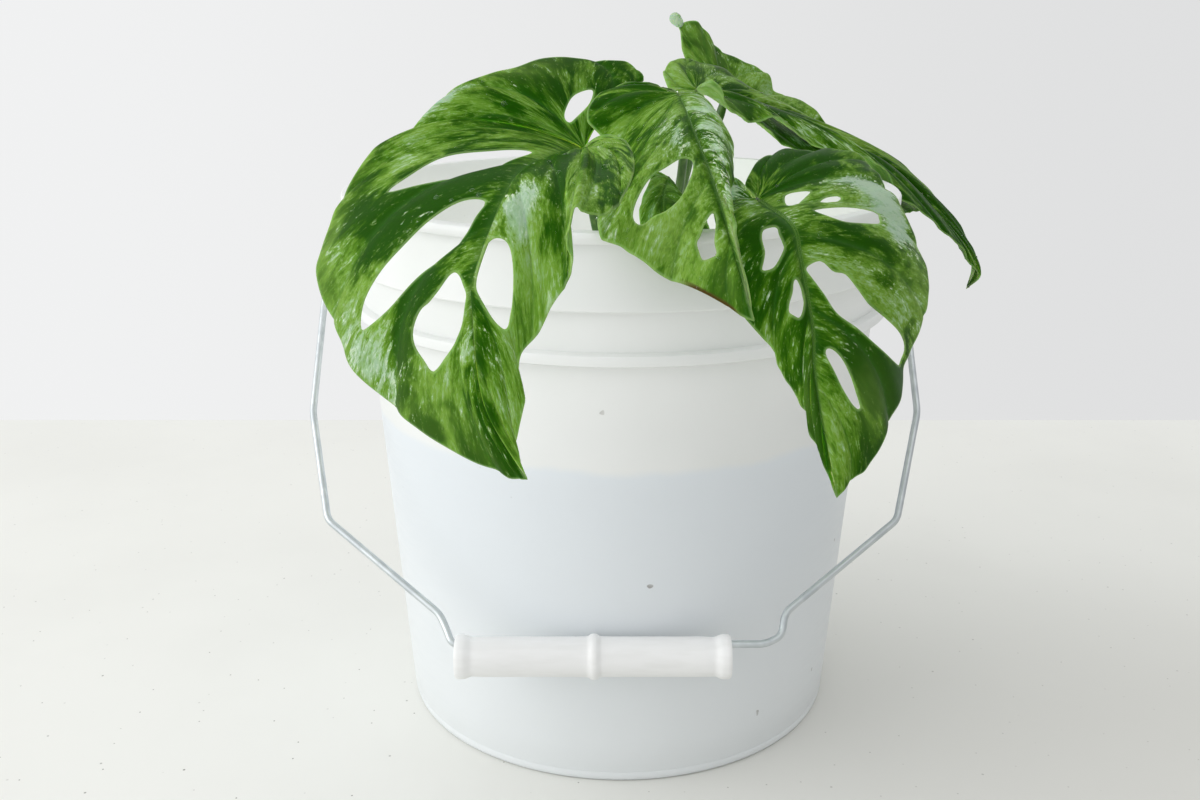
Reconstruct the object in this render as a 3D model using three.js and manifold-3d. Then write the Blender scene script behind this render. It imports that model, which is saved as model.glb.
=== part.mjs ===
// A monstera with perforated leaves, growing in a plastic pail with a wire bail.
// Millimetres, +Z up. The pail's axis is the Z axis and its flat bottom lies on z = 0.
// The viewer stands towards -Y; the bail's pivots lie on the X axis.
import * as THREE from "three";
import { mergeVertices } from "three/addons/utils/BufferGeometryUtils.js";
import Module from "manifold-3d";

const wasm = await Module();
wasm.setup();

// Pail: outer and inner wall as radius and height
const PAIL_SEGMENTS = 56;
const FLOOR_THICKNESS = 1.8;
const PAIL_OUTER = [
  [82.2, 0], [83.4, 0.5], [83.8, 1.8], [94.7, 157.5],
  [99.6, 158], [99.6, 161.5], [96.5, 162], [96.8, 175],
  [100.2, 175.3], [99.3, 181], [98.5, 187], [98.5, 196],
  [102, 196.5], [102, 199.6], [98, 200.2],
];
const PAIL_INNER = [[97, 199.6], [95.5, 175], [93, 157], [82, 3.4], [81, FLOOR_THICKNESS]];

// Ears: a boss on each side between the two upper rings, with a blind hole for the wire
const PIVOT_HEIGHT = 165;
const EAR_REACH = 104;
const EAR_ROOT = 95.7;
const EAR_WIDTH = 14;
const EAR_HEIGHT = 11;
const EAR_HOLE_RADIUS = 1.55;
const EAR_HOLE_END = 97.5;

// Bail: one bent wire, hanging down in front of the wall
const WIRE_RADIUS = 1.25;
const WIRE_SIDES = 8;
const BEND_RADIUS = 9;
const BAIL_DROP = [0, -0.671, -0.741];
const GRIP_DROP = 140.7;
const WIRE_LEFT = [
  [-98, 0], [-110, 0], [-111.2, 4], [-111.2, 56], [-102.2, 97], [-61.5, 130.5], [-58.8, 136],
];
const WIRE_RIGHT = [
  [98, 0], [106.4, 0], [107.2, 4], [107.2, 56], [95.8, 97], [56.5, 131], [51.5, 138],
];

// Grip: a thin tube round the middle of the wire
const GRIP_SEGMENTS = 24;
const GRIP_START = -55.6;
const GRIP_END = 36;
const GRIP_BORE = 5.85;
const GRIP_BODY = 6.65;
const GRIP_FLARE = 7.4;
const GRIP_RING = 7.6;
const GRIP_RING_AT = -9.5;
const GRIP_AXIS_Y = -95.7;
const GRIP_AXIS_Z = 56.8;

// Potting mix: a body that fills the pail, mounded and strewn with bark on top
const MIX_SEGMENTS = 40;
const MIX_GAP = 0.45;
const MIX_RIM_HEIGHT = 118;
const MIX_MOUND = 7;
const MIX_RINGS = 9;
const BARK_RELIEF = 2.2;

// Stems: the vine and the leaf stalks, as points along their middle
const SEAT_GAP = 0.32;
const STEM_SIDES = 8;
const STALK_BASE = 2.3;
const STALK_RADIUS = 1.7;
const STALK_TIP = 1.35;
const VINE_RADIUS = 4.1;
const VINE_HOLE_RADIUS = 4.6;
const VINE_HOLE_BOTTOM = 96;
const VINE = [
  [1.4, 0, VINE_HOLE_BOTTOM + SEAT_GAP], [1.4, 0, 112], [1.4, 0, 127],
  [3, -4, 143], [6, -3, 157], [7, -1, 168],
];
const VINE_NODES = [0.47, 0.6, 0.73, 0.86];

// Leaves: each has a rib, two margins, folds, and holes along its side veins.
// Left and right are as seen with the tip pointing at the viewer.
const BLADE_THICKNESS = 0.8;
const RIB_EASE = 1.5;
const LIFT_EASE = 0.6;
const SNAP = 0.22;

const LEAVES = {
  left: {
    rib: [
      [-13, -25, 216], [-26, -60, 217], [-34, -85, 214], [-40, -105, 202], [-44, -118, 190],
      [-44, -122, 181], [-41, -125, 154], [-29, -121, 130],
    ],
    margins: [
      [
        [-13, -25, 216], [-12, -5, 222], [-4, 10, 230], [8, 17, 237], [3, 17, 243],
        [-8, 9, 244], [-19, 0, 245], [-29, -10, 245], [-40, -20, 242], [-50, -26, 239],
        [-58, -31, 236], [-66, -37, 229], [-73, -41, 221], [-80, -42, 220], [-85, -46, 215],
        [-92, -51, 204], [-96, -57, 195], [-99, -62, 186], [-99, -67, 178], [-95, -74, 170],
        [-90, -81, 162], [-85, -87, 154], [-75, -96, 148], [-67, -103, 143], [-56, -110, 138],
        [-43, -116, 133], [-34, -120, 130], [-29, -121, 130],
      ],
      [
        [-13, -25, 216], [-10, -34, 220], [-4, -48, 223], [1, -60, 222], [3, -74, 218],
        [2, -90, 214], [-2, -105, 209], [-6, -112, 207], [-11, -115, 208], [-14, -116, 210],
        [-16, -118, 205], [-17, -119, 200], [-15, -120, 195], [-17, -120, 189], [-22, -121, 181],
        [-25, -122, 175], [-30, -122, 169], [-31, -122, 162], [-30, -122, 153], [-32, -121, 142],
        [-31, -121, 135], [-29, -121, 130],
      ],
    ],
    lobes: [0.46, 0.4],
    lifts: [[-3, -3, 9], [2, -3, 7]],
    holes: [
      [
        [0.27, 0.17, 0.18, 0.48, 0.03], [0.578, 0.09, 0.613, 0.66, 0.022],
        [0.728, 0.08, 0.765, 0.87, 0.029], [0.835, 0.05, 0.848, 0.63, 0.04],
      ],
      [[0.775, 0.03, 0.79, 0.67, 0.045]],
    ],
    stalk: {
      from: 0.66,
      seat: 1.2,
      route: [[-4, -11, 166], [-9, -20, 188], [-12, -24.5, 205]],
    },
    steps: { rib: 10, lobe: 7, across: 7 },
    colour: 0x4f7d45,
  },
  right: {
    rib: [
      [41, -82, 207], [49, -98, 202], [51, -104, 194], [53, -108, 184], [55, -111, 173],
      [56, -112, 161], [60, -110, 142], [66, -106, 118],
    ],
    margins: [
      [
        [41, -82, 207], [38, -75, 209], [34, -66, 211], [29, -72, 207], [28, -84, 203],
        [27, -94, 204], [27, -105, 198], [29, -109, 186], [34, -109, 178], [39, -109, 172],
        [44, -108, 166], [47, -108, 159], [52, -108, 152], [55, -108, 145], [58, -107, 137],
        [62, -106, 128], [66, -106, 118],
      ],
      [
        [41, -82, 207], [38, -74, 209], [43, -62, 215], [50, -52, 218], [60, -44, 217],
        [71, -37, 217], [82, -33, 214], [87, -36, 209], [90, -40, 204], [93, -51, 199],
        [97, -58, 188], [99, -66, 180], [98, -72, 171], [94, -77, 161], [89, -83, 154],
        [87, -90, 145], [82, -97, 137], [76, -101, 127], [71, -104, 123], [66, -106, 118],
      ],
    ],
    lobes: [0.28, 0.36],
    lifts: [[-2, -3, 2], [3, -4, 4]],
    holes: [
      [[0.455, 0.13, 0.515, 0.52, 0.045], [0.66, 0.07, 0.68, 0.43, 0.036]],
      [
        [0.45, 0.08, 0.41, 0.27, 0.018], [0.452, 0.28, 0.455, 0.44, 0.011],
        [0.5, 0.15, 0.51, 0.68, 0.023], [0.68, 0.03, 0.735, 0.93, 0.038],
        [0.825, 0.09, 0.868, 0.58, 0.019],
      ],
    ],
    stalk: {
      from: 0.5,
      seat: 0.9,
      route: [[14, -18, 150], [34, -50, 167], [43, -71, 184], [42.6, -78, 196]],
    },
    steps: { rib: 9, lobe: 5, across: 7 },
    colour: 0x5a8a4e,
  },
  front: {
    rib: [
      [20, -15, 234], [23, -46, 225], [26, -76, 215], [28, -100, 207], [30, -115, 199],
      [33, -122, 189], [36, -124, 179],
    ],
    margins: [
      [
        [20, -15, 234], [14, -11, 236], [7, -6, 237], [-1, -6, 236], [-8, -11, 233],
        [-12, -23, 226], [-6, -28, 219], [-3, -42, 211], [-4, -64, 205], [-6, -87, 203],
        [-8, -100, 204], [-7, -109, 200], [-1, -110, 197], [4, -112, 194], [10, -114, 190],
        [16, -116, 188], [22, -119, 186], [28, -121, 183], [33, -123, 180], [36, -124, 179],
      ],
      [
        [20, -15, 234], [24, -10, 234], [29, -12, 233], [32, -24, 228], [34, -36, 224],
        [35, -56, 220], [33, -80, 214], [30, -97, 209], [30, -110, 204], [32, -119, 196],
        [34, -123, 186], [36, -124, 179],
      ],
    ],
    lobes: [0.36, 0.3],
    lifts: [[0, 0, 3], [2, -1, 4]],
    holes: [[[0.615, 0.06, 0.628, 0.82, 0.048], [0.765, 0.15, 0.81, 0.64, 0.03]], []],
    stalk: {
      from: 0.8,
      seat: 1.5,
      route: [[15, -2, 172], [21.5, 0, 196], [23, -5, 217]],
    },
    steps: { rib: 10, lobe: 5, across: 6 },
    colour: 0x8fb98a,
  },
  upper: {
    rib: [
      [28, 4, 234], [40, 18, 232], [55, 30, 226], [72, 36, 219], [87, 41, 213],
      [106, 42, 204], [123, 41, 188], [137, 37, 170], [143, 32, 154],
    ],
    margins: [
      [
        [28, 4, 234], [31, 0, 237], [33, -4, 238], [36, -10, 234], [38, -12, 229],
        [43, -8, 225], [50, -2, 223], [57, 4, 224], [65, 8, 219], [72, 11, 213],
        [86, 14, 210], [96, 15, 207], [102, 16, 203], [109, 18, 192], [119, 20, 186],
        [130, 22, 175], [138, 26, 166], [144, 30, 157], [143, 32, 154],
      ],
      [
        [28, 4, 234], [22, 0, 232], [18, 4, 234], [16, 12, 240], [20, 22, 243],
        [28, 32, 243], [38, 42, 240], [49, 48, 234], [60, 52, 227], [77, 56, 219],
        [93, 60, 210], [106, 60, 205], [119, 58, 199], [131, 55, 188], [138, 50, 179],
        [145, 44, 167], [148, 38, 159], [143, 32, 154],
      ],
    ],
    lobes: [0.3, 0.3],
    lifts: [[0, 0, 3], [0, 0, 3]],
    holes: [[], []],
    stalk: {
      from: 0.72,
      seat: 1.2,
      route: [[13, 8, 170], [24, 12, 198], [28, 9, 220]],
    },
    steps: { rib: 10, lobe: 5, across: 4 },
    colour: 0x6b9a5c,
  },
  back: {
    rib: [
      [44, 56, 229], [63, 64, 220], [84, 70, 207], [103, 72, 196], [119, 70, 186],
      [133, 62, 181],
    ],
    margins: [
      [
        [44, 56, 229], [47, 46, 225], [52, 38, 221], [58, 31, 217], [67, 27, 210],
        [79, 34, 206], [92, 44, 204], [106, 46, 195], [114, 42, 184], [123, 50, 182],
        [133, 62, 181],
      ],
      [
        [44, 56, 229], [39, 52, 234], [33, 50, 238], [27, 52, 243], [25, 54, 250],
        [25, 57, 256], [32, 62, 257], [37, 68, 251], [42, 74, 246], [53, 80, 240],
        [64, 85, 236], [67, 88, 228], [79, 92, 224], [88, 92, 217], [101, 92, 205],
        [113, 86, 197], [124, 78, 189], [131, 70, 184], [133, 62, 181],
      ],
    ],
    lobes: [0.3, 0.45],
    lifts: [[0, 0, 0], [0, 2, 2]],
    holes: [[], []],
    stalk: {
      from: 0.56,
      seat: 1.7,
      route: [[10, 14, 158], [24, 34, 184], [38, 50, 212]],
    },
    steps: { rib: 8, lobe: 6, across: 4 },
    colour: 0x5f8f55,
  },
  inner: {
    rib: [[17, -16, 205], [14, -34, 200], [15, -50, 190], [22, -62, 177]],
    margins: [
      [
        [17, -16, 205], [12, -18, 207], [9, -30, 203], [6, -42, 197], [8, -56, 188],
        [15, -62, 180], [22, -62, 177],
      ],
      [
        [17, -16, 205], [19, -18, 203], [21, -30, 199], [27, -42, 195], [30, -52, 189],
        [27, -60, 182], [22, -62, 177],
      ],
    ],
    lobes: [0.25, 0.25],
    lifts: [[0, 0, 2], [0, 0, 2]],
    holes: [[], []],
    stalk: {
      from: 0.76,
      seat: 1.3,
      route: [[9, -12, 172], [14, -15, 190]],
    },
    steps: { rib: 5, lobe: 3, across: 3 },
    colour: 0x3f6b3c,
  },
};

// Shapes joined and cut

// A geometry as a solid of its shared vertices.
function solid(geometry) {
  geometry.deleteAttribute("normal");
  geometry.deleteAttribute("uv");
  const merged = mergeVertices(geometry, 1e-4);
  return new wasm.Manifold(new wasm.Mesh({
    numProp: 3,
    vertProperties: merged.attributes.position.array,
    triVerts: new Uint32Array(merged.index.array),
  }));
}

// A solid back as a geometry.
function geometryOf(made) {
  const mesh = made.getMesh();
  const geometry = new THREE.BufferGeometry();
  geometry.setAttribute("position", new THREE.BufferAttribute(mesh.vertProperties, 3));
  geometry.setIndex(new THREE.BufferAttribute(mesh.triVerts, 1));
  return geometry;
}

// A profile of [radius, height] turned round the Z axis.
function turned(profile, segments) {
  const points = profile.map(([r, z]) => new THREE.Vector2(r, z));
  return new THREE.LatheGeometry(points, segments).rotateX(Math.PI / 2);
}

// A route that passes exactly through its points, one step for each point.
class Route extends THREE.Curve {
  constructor(points) {
    super();
    this.points = points;
  }

  getPoint(t, target = new THREE.Vector3()) {
    const place = t * (this.points.length - 1);
    const i = Math.min(Math.floor(place), this.points.length - 2);
    return target.lerpVectors(this.points[i], this.points[i + 1], place - i);
  }

  getPointAt(u, target) {
    return this.getPoint(u, target);
  }

  getTangentAt(u, target = new THREE.Vector3()) {
    const last = this.points.length - 1;
    const i = Math.round(u * last);
    const before = this.points[Math.max(i - 1, 0)];
    const here = this.points[i];
    const after = this.points[Math.min(i + 1, last)];
    const came = here.clone().sub(before).normalize();
    const goes = after.clone().sub(here).normalize();
    return target.copy(came.add(goes)).normalize();
  }
}

// A round rod along points, with radiusAt(share of the way) at each point.
function rod(points, sides, radiusAt) {
  const section = new THREE.Shape();
  for (let i = 0; i < sides; i += 1) {
    const angle = (2 * Math.PI * i) / sides;
    section[i ? "lineTo" : "moveTo"](Math.cos(angle), Math.sin(angle));
  }
  const steps = points.length - 1;
  const geometry = new THREE.ExtrudeGeometry(section, { steps, extrudePath: new Route(points) });
  const position = geometry.attributes.position;
  const vertex = new THREE.Vector3();
  for (let i = 0; i < position.count; i += 1) {
    vertex.fromBufferAttribute(position, i);
    let nearest = 0;
    for (let k = 1; k <= steps; k += 1) {
      if (vertex.distanceTo(points[k]) < vertex.distanceTo(points[nearest])) nearest = k;
    }
    vertex.sub(points[nearest]).multiplyScalar(radiusAt(nearest / steps)).add(points[nearest]);
    position.setXYZ(i, vertex.x, vertex.y, vertex.z);
  }
  return geometry;
}

const vectors = (list) => list.map((p) => new THREE.Vector3(...p));

// Points along a smooth curve through a few given ones.
function smooth(list, steps) {
  return new THREE.CatmullRomCurve3(vectors(list)).getSpacedPoints(steps);
}

// Pail

function pail() {
  const wall = solid(turned([[0, 0], ...PAIL_OUTER, ...PAIL_INNER, [0, FLOOR_THICKNESS]], PAIL_SEGMENTS));
  let made = wall;
  for (const side of [-1, 1]) {
    const length = EAR_REACH - EAR_ROOT;
    const boss = new THREE.BoxGeometry(length, EAR_WIDTH, EAR_HEIGHT)
      .translate(side * (EAR_ROOT + length / 2), 0, PIVOT_HEIGHT);
    const depth = EAR_REACH + 1 - EAR_HOLE_END;
    const hole = new THREE.CylinderGeometry(EAR_HOLE_RADIUS, EAR_HOLE_RADIUS, depth, 16)
      .rotateZ(Math.PI / 2)
      .translate(side * (EAR_HOLE_END + depth / 2), 0, PIVOT_HEIGHT);
    made = made.add(solid(boss)).subtract(solid(hole));
  }
  return geometryOf(made);
}

// Bail

// The corners of a line of points, each rounded by a short curve.
function roundCorners(points, radius, steps) {
  const made = [points[0]];
  for (let i = 1; i < points.length - 1; i += 1) {
    const here = points[i];
    const back = points[i - 1].clone().sub(here);
    const on = points[i + 1].clone().sub(here);
    const cut = Math.min(radius, 0.45 * back.length(), 0.45 * on.length());
    const bend = new THREE.QuadraticBezierCurve3(
      here.clone().add(back.setLength(cut)),
      here,
      here.clone().add(on.setLength(cut)),
    );
    made.push(...bend.getPoints(steps));
  }
  made.push(points.at(-1));
  return made;
}

function bailWire() {
  const flat = [...WIRE_LEFT, [-56.9, GRIP_DROP], [48.6, GRIP_DROP], ...WIRE_RIGHT.toReversed()];
  const corners = flat.map(([x, drop]) => new THREE.Vector3(...BAIL_DROP)
    .multiplyScalar(drop)
    .add(new THREE.Vector3(x, 0, PIVOT_HEIGHT)));
  return rod(roundCorners(corners, BEND_RADIUS, 3), WIRE_SIDES, () => WIRE_RADIUS);
}

// Grip

function grip() {
  const outer = [
    [GRIP_FLARE - 0.5, GRIP_START], [GRIP_FLARE, GRIP_START + 0.8],
    [GRIP_FLARE, GRIP_START + 2.6], [GRIP_BODY - 0.1, GRIP_START + 5],
    [GRIP_BODY, GRIP_RING_AT - 2.4], [GRIP_RING, GRIP_RING_AT - 1.4],
    [GRIP_RING, GRIP_RING_AT + 1.4], [GRIP_BODY, GRIP_RING_AT + 2.4],
    [GRIP_BODY - 0.1, GRIP_END - 5], [GRIP_FLARE, GRIP_END - 2.6],
    [GRIP_FLARE, GRIP_END - 0.8], [GRIP_FLARE - 0.5, GRIP_END],
  ];
  const bore = [[GRIP_BORE, GRIP_END], [GRIP_BORE, GRIP_START]];
  return turned([...outer, ...bore, outer[0]], GRIP_SEGMENTS).rotateY(Math.PI / 2);
}

// Potting mix

// The pail's inner radius at a height below its upper rings.
function innerRadius(z) {
  const [[topRadius, top], [bottomRadius, bottom]] = PAIL_INNER.slice(2, 4);
  return bottomRadius + ((topRadius - bottomRadius) * (z - bottom)) / (top - bottom);
}

// How far a piece of bark stands up at a place on the mix.
function bark(x, y) {
  const coarse = Math.sin(0.31 * x + 1.7 * Math.sin(0.17 * y)) * Math.cos(0.27 * y - 0.6 * Math.sin(0.23 * x));
  const fine = Math.sin(0.9 * x + 0.5 * y) * Math.sin(0.8 * y - 0.4 * x + 1);
  return BARK_RELIEF * (0.6 * coarse + 0.4 * fine);
}

function pottingMix() {
  const bottom = FLOOR_THICKNESS + SEAT_GAP;
  const rim = innerRadius(MIX_RIM_HEIGHT) - MIX_GAP;
  const profile = [[0, bottom], [80, bottom], [innerRadius(5) - MIX_GAP, 5], [rim, MIX_RIM_HEIGHT]];
  for (let ring = MIX_RINGS - 1; ring >= 0; ring -= 1) {
    const share = ring / MIX_RINGS;
    profile.push([rim * share, MIX_RIM_HEIGHT + MIX_MOUND * (1 - share ** 2)]);
  }
  const body = turned(profile, MIX_SEGMENTS);
  const position = body.attributes.position;
  for (let i = 0; i < position.count; i += 1) {
    const [x, y, z] = [position.getX(i), position.getY(i), position.getZ(i)];
    if (z > MIX_RIM_HEIGHT + 0.1) position.setZ(i, z + bark(x, y));
  }
  const depth = MIX_RIM_HEIGHT + 2 * MIX_MOUND - VINE_HOLE_BOTTOM;
  const hole = new THREE.CylinderGeometry(VINE_HOLE_RADIUS, VINE_HOLE_RADIUS, depth, 16)
    .rotateX(Math.PI / 2)
    .translate(VINE[1][0], VINE[1][1], VINE_HOLE_BOTTOM + depth / 2);
  return geometryOf(solid(body).subtract(solid(hole)));
}

// Stems

const vineLine = smooth(VINE, 26);

// The vine's radius, swollen a little at its nodes and rounded off at its top.
function vineRadius(share) {
  const swelling = VINE_NODES.reduce((sum, at) => sum + Math.exp(-(((share - at) / 0.025) ** 2)), 0);
  const end = share > 0.97 ? 0.6 : 1;
  return (VINE_RADIUS + 0.7 * swelling) * end;
}

const vine = rod(vineLine, 12, vineRadius);
const vineRoom = solid(rod(vineLine, 12, (share) => vineRadius(share) + SEAT_GAP));

// A leaf's stalk, from the vine to just under where the blade's rib starts.
function stalk({ rib, stalk: { from, seat, route } }) {
  const start = vineLine[Math.round(from * (vineLine.length - 1))];
  const middle = vectors(route);
  const attach = new THREE.Vector3(...rib[0]);
  const end = middle.at(-1).clone().sub(attach).setLength(seat).add(attach);
  const curve = new THREE.CatmullRomCurve3([start, ...middle, end]);
  const radiusAt = (share) => {
    const sheath = STALK_BASE * Math.exp(-9 * share);
    return STALK_TIP + (STALK_RADIUS - STALK_TIP) * (1 - share ** 4) + 0.25 * sheath;
  };
  const body = solid(rod(curve.getSpacedPoints(14), STEM_SIDES, radiusAt));
  return geometryOf(body.subtract(vineRoom));
}

// Leaf blades

// A point on the smooth curve through given points, at t from 0 to 1.
function along(points, t) {
  const last = points.length - 1;
  const place = THREE.MathUtils.clamp(t, 0, 1) * last;
  const i = Math.min(Math.floor(place), last - 1);
  const u = place - i;
  const before = (k) => (i > 0 ? points[i - 1][k] : 2 * points[0][k] - points[1][k]);
  const after = (k) => (i + 2 <= last ? points[i + 2][k] : 2 * points[last][k] - points[last - 1][k]);
  return new THREE.Vector3(...[0, 1, 2].map((k) => {
    const [a, b, c, d] = [before(k), points[i][k], points[i + 1][k], after(k)];
    return 0.5 * (2 * b + (c - a) * u + (2 * a - 5 * b + 4 * c - d) * u ** 2 + (3 * b - a - 3 * c + d) * u ** 3);
  }));
}

// The middle of a blade: s runs along one margin, v from the rib out to it.
function bladePoint(leaf, side, s, v) {
  const lobe = leaf.lobes[side];
  const share = THREE.MathUtils.clamp((s - lobe) / (1 - lobe), 0, 1);
  const rib = along(leaf.rib, share ** RIB_EASE);
  const edge = along(leaf.margins[side], s);
  const arch = Math.max(Math.sin(Math.PI * s ** RIB_EASE), 0) ** LIFT_EASE;
  const lift = new THREE.Vector3(...leaf.lifts[side]).multiplyScalar(arch * 4 * v * (1 - v));
  return rib.lerp(edge, v).add(lift);
}

// Below zero inside one of the side's holes, above zero on the blade.
function holeValue(leaf, side, s, v) {
  let value = 1;
  for (const [s0, v0, s1, v1, width] of leaf.holes[side]) {
    const t = (v - v0) / (v1 - v0);
    const centre = s0 + (s1 - s0) * t;
    value = Math.min(value, ((s - centre) / width) ** 2 + (2 * t - 1) ** 2 - 1);
  }
  return value;
}

// The places along the rib, 0 to 1, where both sides have a line across the blade.
function ribLines(leaf) {
  const wanted = [];
  leaf.holes.forEach((holes, side) => {
    const lobe = leaf.lobes[side];
    for (const [s0, , s1, , width] of holes) {
      const middle = (s0 + s1) / 2;
      const quarter = (s1 - s0) / 4;
      for (const s of [middle - quarter, middle + quarter, middle - 1.35 * width, middle + 1.35 * width]) {
        if (s > lobe) wanted.push((s - lobe) / (1 - lobe));
      }
    }
  });
  const lines = wanted.sort((a, b) => a - b).filter((x, i) => i === 0 || x - wanted[i - 1] > 0.012);
  const steps = leaf.steps.rib;
  for (let i = 1; i < steps; i += 1) {
    const x = i / steps;
    if (lines.every((other) => Math.abs(other - x) > 0.45 / steps)) lines.push(x);
  }
  return [0, ...lines.sort((a, b) => a - b), 1];
}

// The lines across one side's basal lobe, 0 to the end of the lobe.
function lobeLines(leaf, side) {
  const end = leaf.lobes[side];
  const lines = [];
  for (const [s0, , s1, , width] of leaf.holes[side]) {
    for (const s of [(s0 + s1) / 2 - width / 2, (s0 + s1) / 2 + width / 2]) {
      if (s < end) lines.push(s);
    }
  }
  const step = end / leaf.steps.lobe;
  for (let s = 0; s < end - step / 2; s += step) {
    if (lines.every((other) => Math.abs(other - s) > 0.4 * step)) lines.push(s);
  }
  return lines.sort((a, b) => a - b);
}

// One side of a blade as a grid of places, with the holes' rims on its vertices.
function sideGrid(leaf, side, rib) {
  const lobe = leaf.lobes[side];
  const lines = [...lobeLines(leaf, side), ...rib.map((x) => lobe + x * (1 - lobe))];
  const first = lines.length - rib.length;
  const { across } = leaf.steps;
  const grid = lines.map((s, i) => Array.from({ length: across + 1 }, (_, j) => {
    const v = j / across;
    let name = `${side} ${i} ${j}`;
    if (j === 0) name = i <= first ? "attach" : `rib ${i - first}`;
    if (i === 0) name = "attach";
    if (i === lines.length - 1) name = "tip";
    return { name, s, v, value: holeValue(leaf, side, s, v) };
  }));
  const value = (s, v) => holeValue(leaf, side, s, v);
  for (let i = 1; i < grid.length - 1; i += 1) {
    for (let j = 1; j < across; j += 1) snapToRim(grid, i, j, value);
  }
  return { grid, value };
}

// The share of the way from one place to another where the holes' rim lies.
function rimShare(from, to, value) {
  let low = 0;
  let high = 1;
  for (let step = 0; step < 24; step += 1) {
    const share = (low + high) / 2;
    const here = value(from.s + (to.s - from.s) * share, from.v + (to.v - from.v) * share);
    if (Math.sign(here) === Math.sign(from.value)) low = share;
    else high = share;
  }
  return (low + high) / 2;
}

// Moves a vertex that lies close to a hole's rim onto it.
function snapToRim(grid, i, j, value) {
  const here = grid[i][j];
  let best = { share: SNAP };
  for (const [di, dj] of [[1, 0], [-1, 0], [0, 1], [0, -1], [1, 1], [-1, -1]]) {
    const other = grid[i + di][j + dj];
    if (here.value * other.value >= 0) continue;
    const share = rimShare(here, other, value);
    if (share < best.share) best = { share, other };
  }
  if (!best.other) return;
  here.s += (best.other.s - here.s) * best.share;
  here.v += (best.other.v - here.v) * best.share;
  here.value = 0;
}

// The part of a triangle of places that lies on the blade, cut along the holes' rims.
function keptPart(corners, value) {
  if (corners.every((c) => c.value === 0)) {
    const middle = (key) => (corners[0][key] + corners[1][key] + corners[2][key]) / 3;
    return value(middle("s"), middle("v")) > 0 ? corners : [];
  }
  if (!corners.some((c) => c.value > 0)) return [];
  const kept = [];
  corners.forEach((here, k) => {
    const next = corners[(k + 1) % 3];
    if (here.value >= 0) kept.push(here);
    if (here.value * next.value >= 0) return;
    const [from, to] = here.name < next.name ? [here, next] : [next, here];
    const share = rimShare(from, to, value);
    kept.push({
      name: `${from.name} to ${to.name}`,
      s: from.s + (to.s - from.s) * share,
      v: from.v + (to.v - from.v) * share,
    });
  });
  return kept;
}

// The blade as a closed sheet: its middle moved out both ways, with walls round its edges.
function blade(leaf) {
  const index = new Map();
  const points = [];
  const faces = [];
  const rib = ribLines(leaf);
  const vertex = (place, side) => {
    if (!index.has(place.name)) {
      index.set(place.name, points.length);
      points.push(bladePoint(leaf, side, place.s, place.v));
    }
    return index.get(place.name);
  };
  for (const side of [0, 1]) {
    const { grid, value } = sideGrid(leaf, side, rib);
    for (let i = 0; i + 1 < grid.length; i += 1) {
      for (let j = 0; j < leaf.steps.across; j += 1) {
        const [a, b, c, d] = [grid[i][j], grid[i + 1][j], grid[i + 1][j + 1], grid[i][j + 1]];
        for (const triangle of [[a, b, c], [a, c, d]]) {
          const part = keptPart(triangle, value).map((place) => vertex(place, side));
          for (let k = 1; k + 1 < part.length; k += 1) {
            const face = [part[0], part[k], part[k + 1]];
            if (new Set(face).size === 3) faces.push(side === 0 ? face : face.toReversed());
          }
        }
      }
    }
  }
  return thicken(points, faces, BLADE_THICKNESS);
}

// A sheet of triangles given a thickness.
function thicken(points, faces, thickness) {
  const normals = points.map(() => new THREE.Vector3());
  for (const [a, b, c] of faces) {
    const normal = points[b].clone().sub(points[a]).cross(points[c].clone().sub(points[a]));
    for (const k of [a, b, c]) normals[k].add(normal);
  }
  const top = points.map((p, k) => p.clone().addScaledVector(normals[k].normalize(), thickness / 2));
  const under = points.map((p, k) => p.clone().addScaledVector(normals[k], -thickness / 2));
  const count = points.length;
  const triangles = [];
  const edges = new Set(faces.flatMap(([a, b, c]) => [`${a} ${b}`, `${b} ${c}`, `${c} ${a}`]));
  for (const [a, b, c] of faces) {
    triangles.push([a, b, c], [a + count, c + count, b + count]);
    for (const [from, to] of [[a, b], [b, c], [c, a]]) {
      if (edges.has(`${to} ${from}`)) continue;
      triangles.push([from, from + count, to + count], [from, to + count, to]);
    }
  }
  const geometry = new THREE.BufferGeometry();
  const position = new Float32Array([...top, ...under].flatMap((p) => p.toArray()));
  geometry.setAttribute("position", new THREE.BufferAttribute(position, 3));
  geometry.setIndex(triangles.flat());
  return geometry;
}

// The whole plant in its pail

function mesh(name, geometry, colour, roughness, metalness = 0) {
  const made = new THREE.Mesh(geometry, new THREE.MeshStandardMaterial({ color: colour, roughness, metalness }));
  made.name = name;
  return made;
}

const plant = new THREE.Group();
plant.add(mesh("pail", pail(), 0xe9edea, 0.45));
plant.add(mesh("bail_wire", bailWire(), 0xa9abad, 0.35, 1));
const gripMesh = mesh("grip", grip(), 0xf2f3f1, 0.4);
gripMesh.position.set(0, GRIP_AXIS_Y, GRIP_AXIS_Z);
plant.add(gripMesh);
plant.add(mesh("potting_mix", pottingMix(), 0x4a3626, 0.95));
plant.add(mesh("vine_stem", vine, 0x57703a, 0.6));
for (const [name, leaf] of Object.entries(LEAVES)) {
  plant.add(mesh(`blade_${name}`, blade(leaf), leaf.colour, 0.45));
  plant.add(mesh(`petiole_${name}`, stalk(leaf), 0x3f5f33, 0.5));
}

export default plant;
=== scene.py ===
"""Dresses the potted monstera: fine leaf blades, stems, pail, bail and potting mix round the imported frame.

The scene is in metres, +Z up, with its origin at the centre of the pail's flat bottom. Tables and named lengths are
in millimetres unless they say otherwise, and MM turns them into metres.
"""
import math
import random

import bpy
import numpy as np
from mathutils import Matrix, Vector, kdtree


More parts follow.
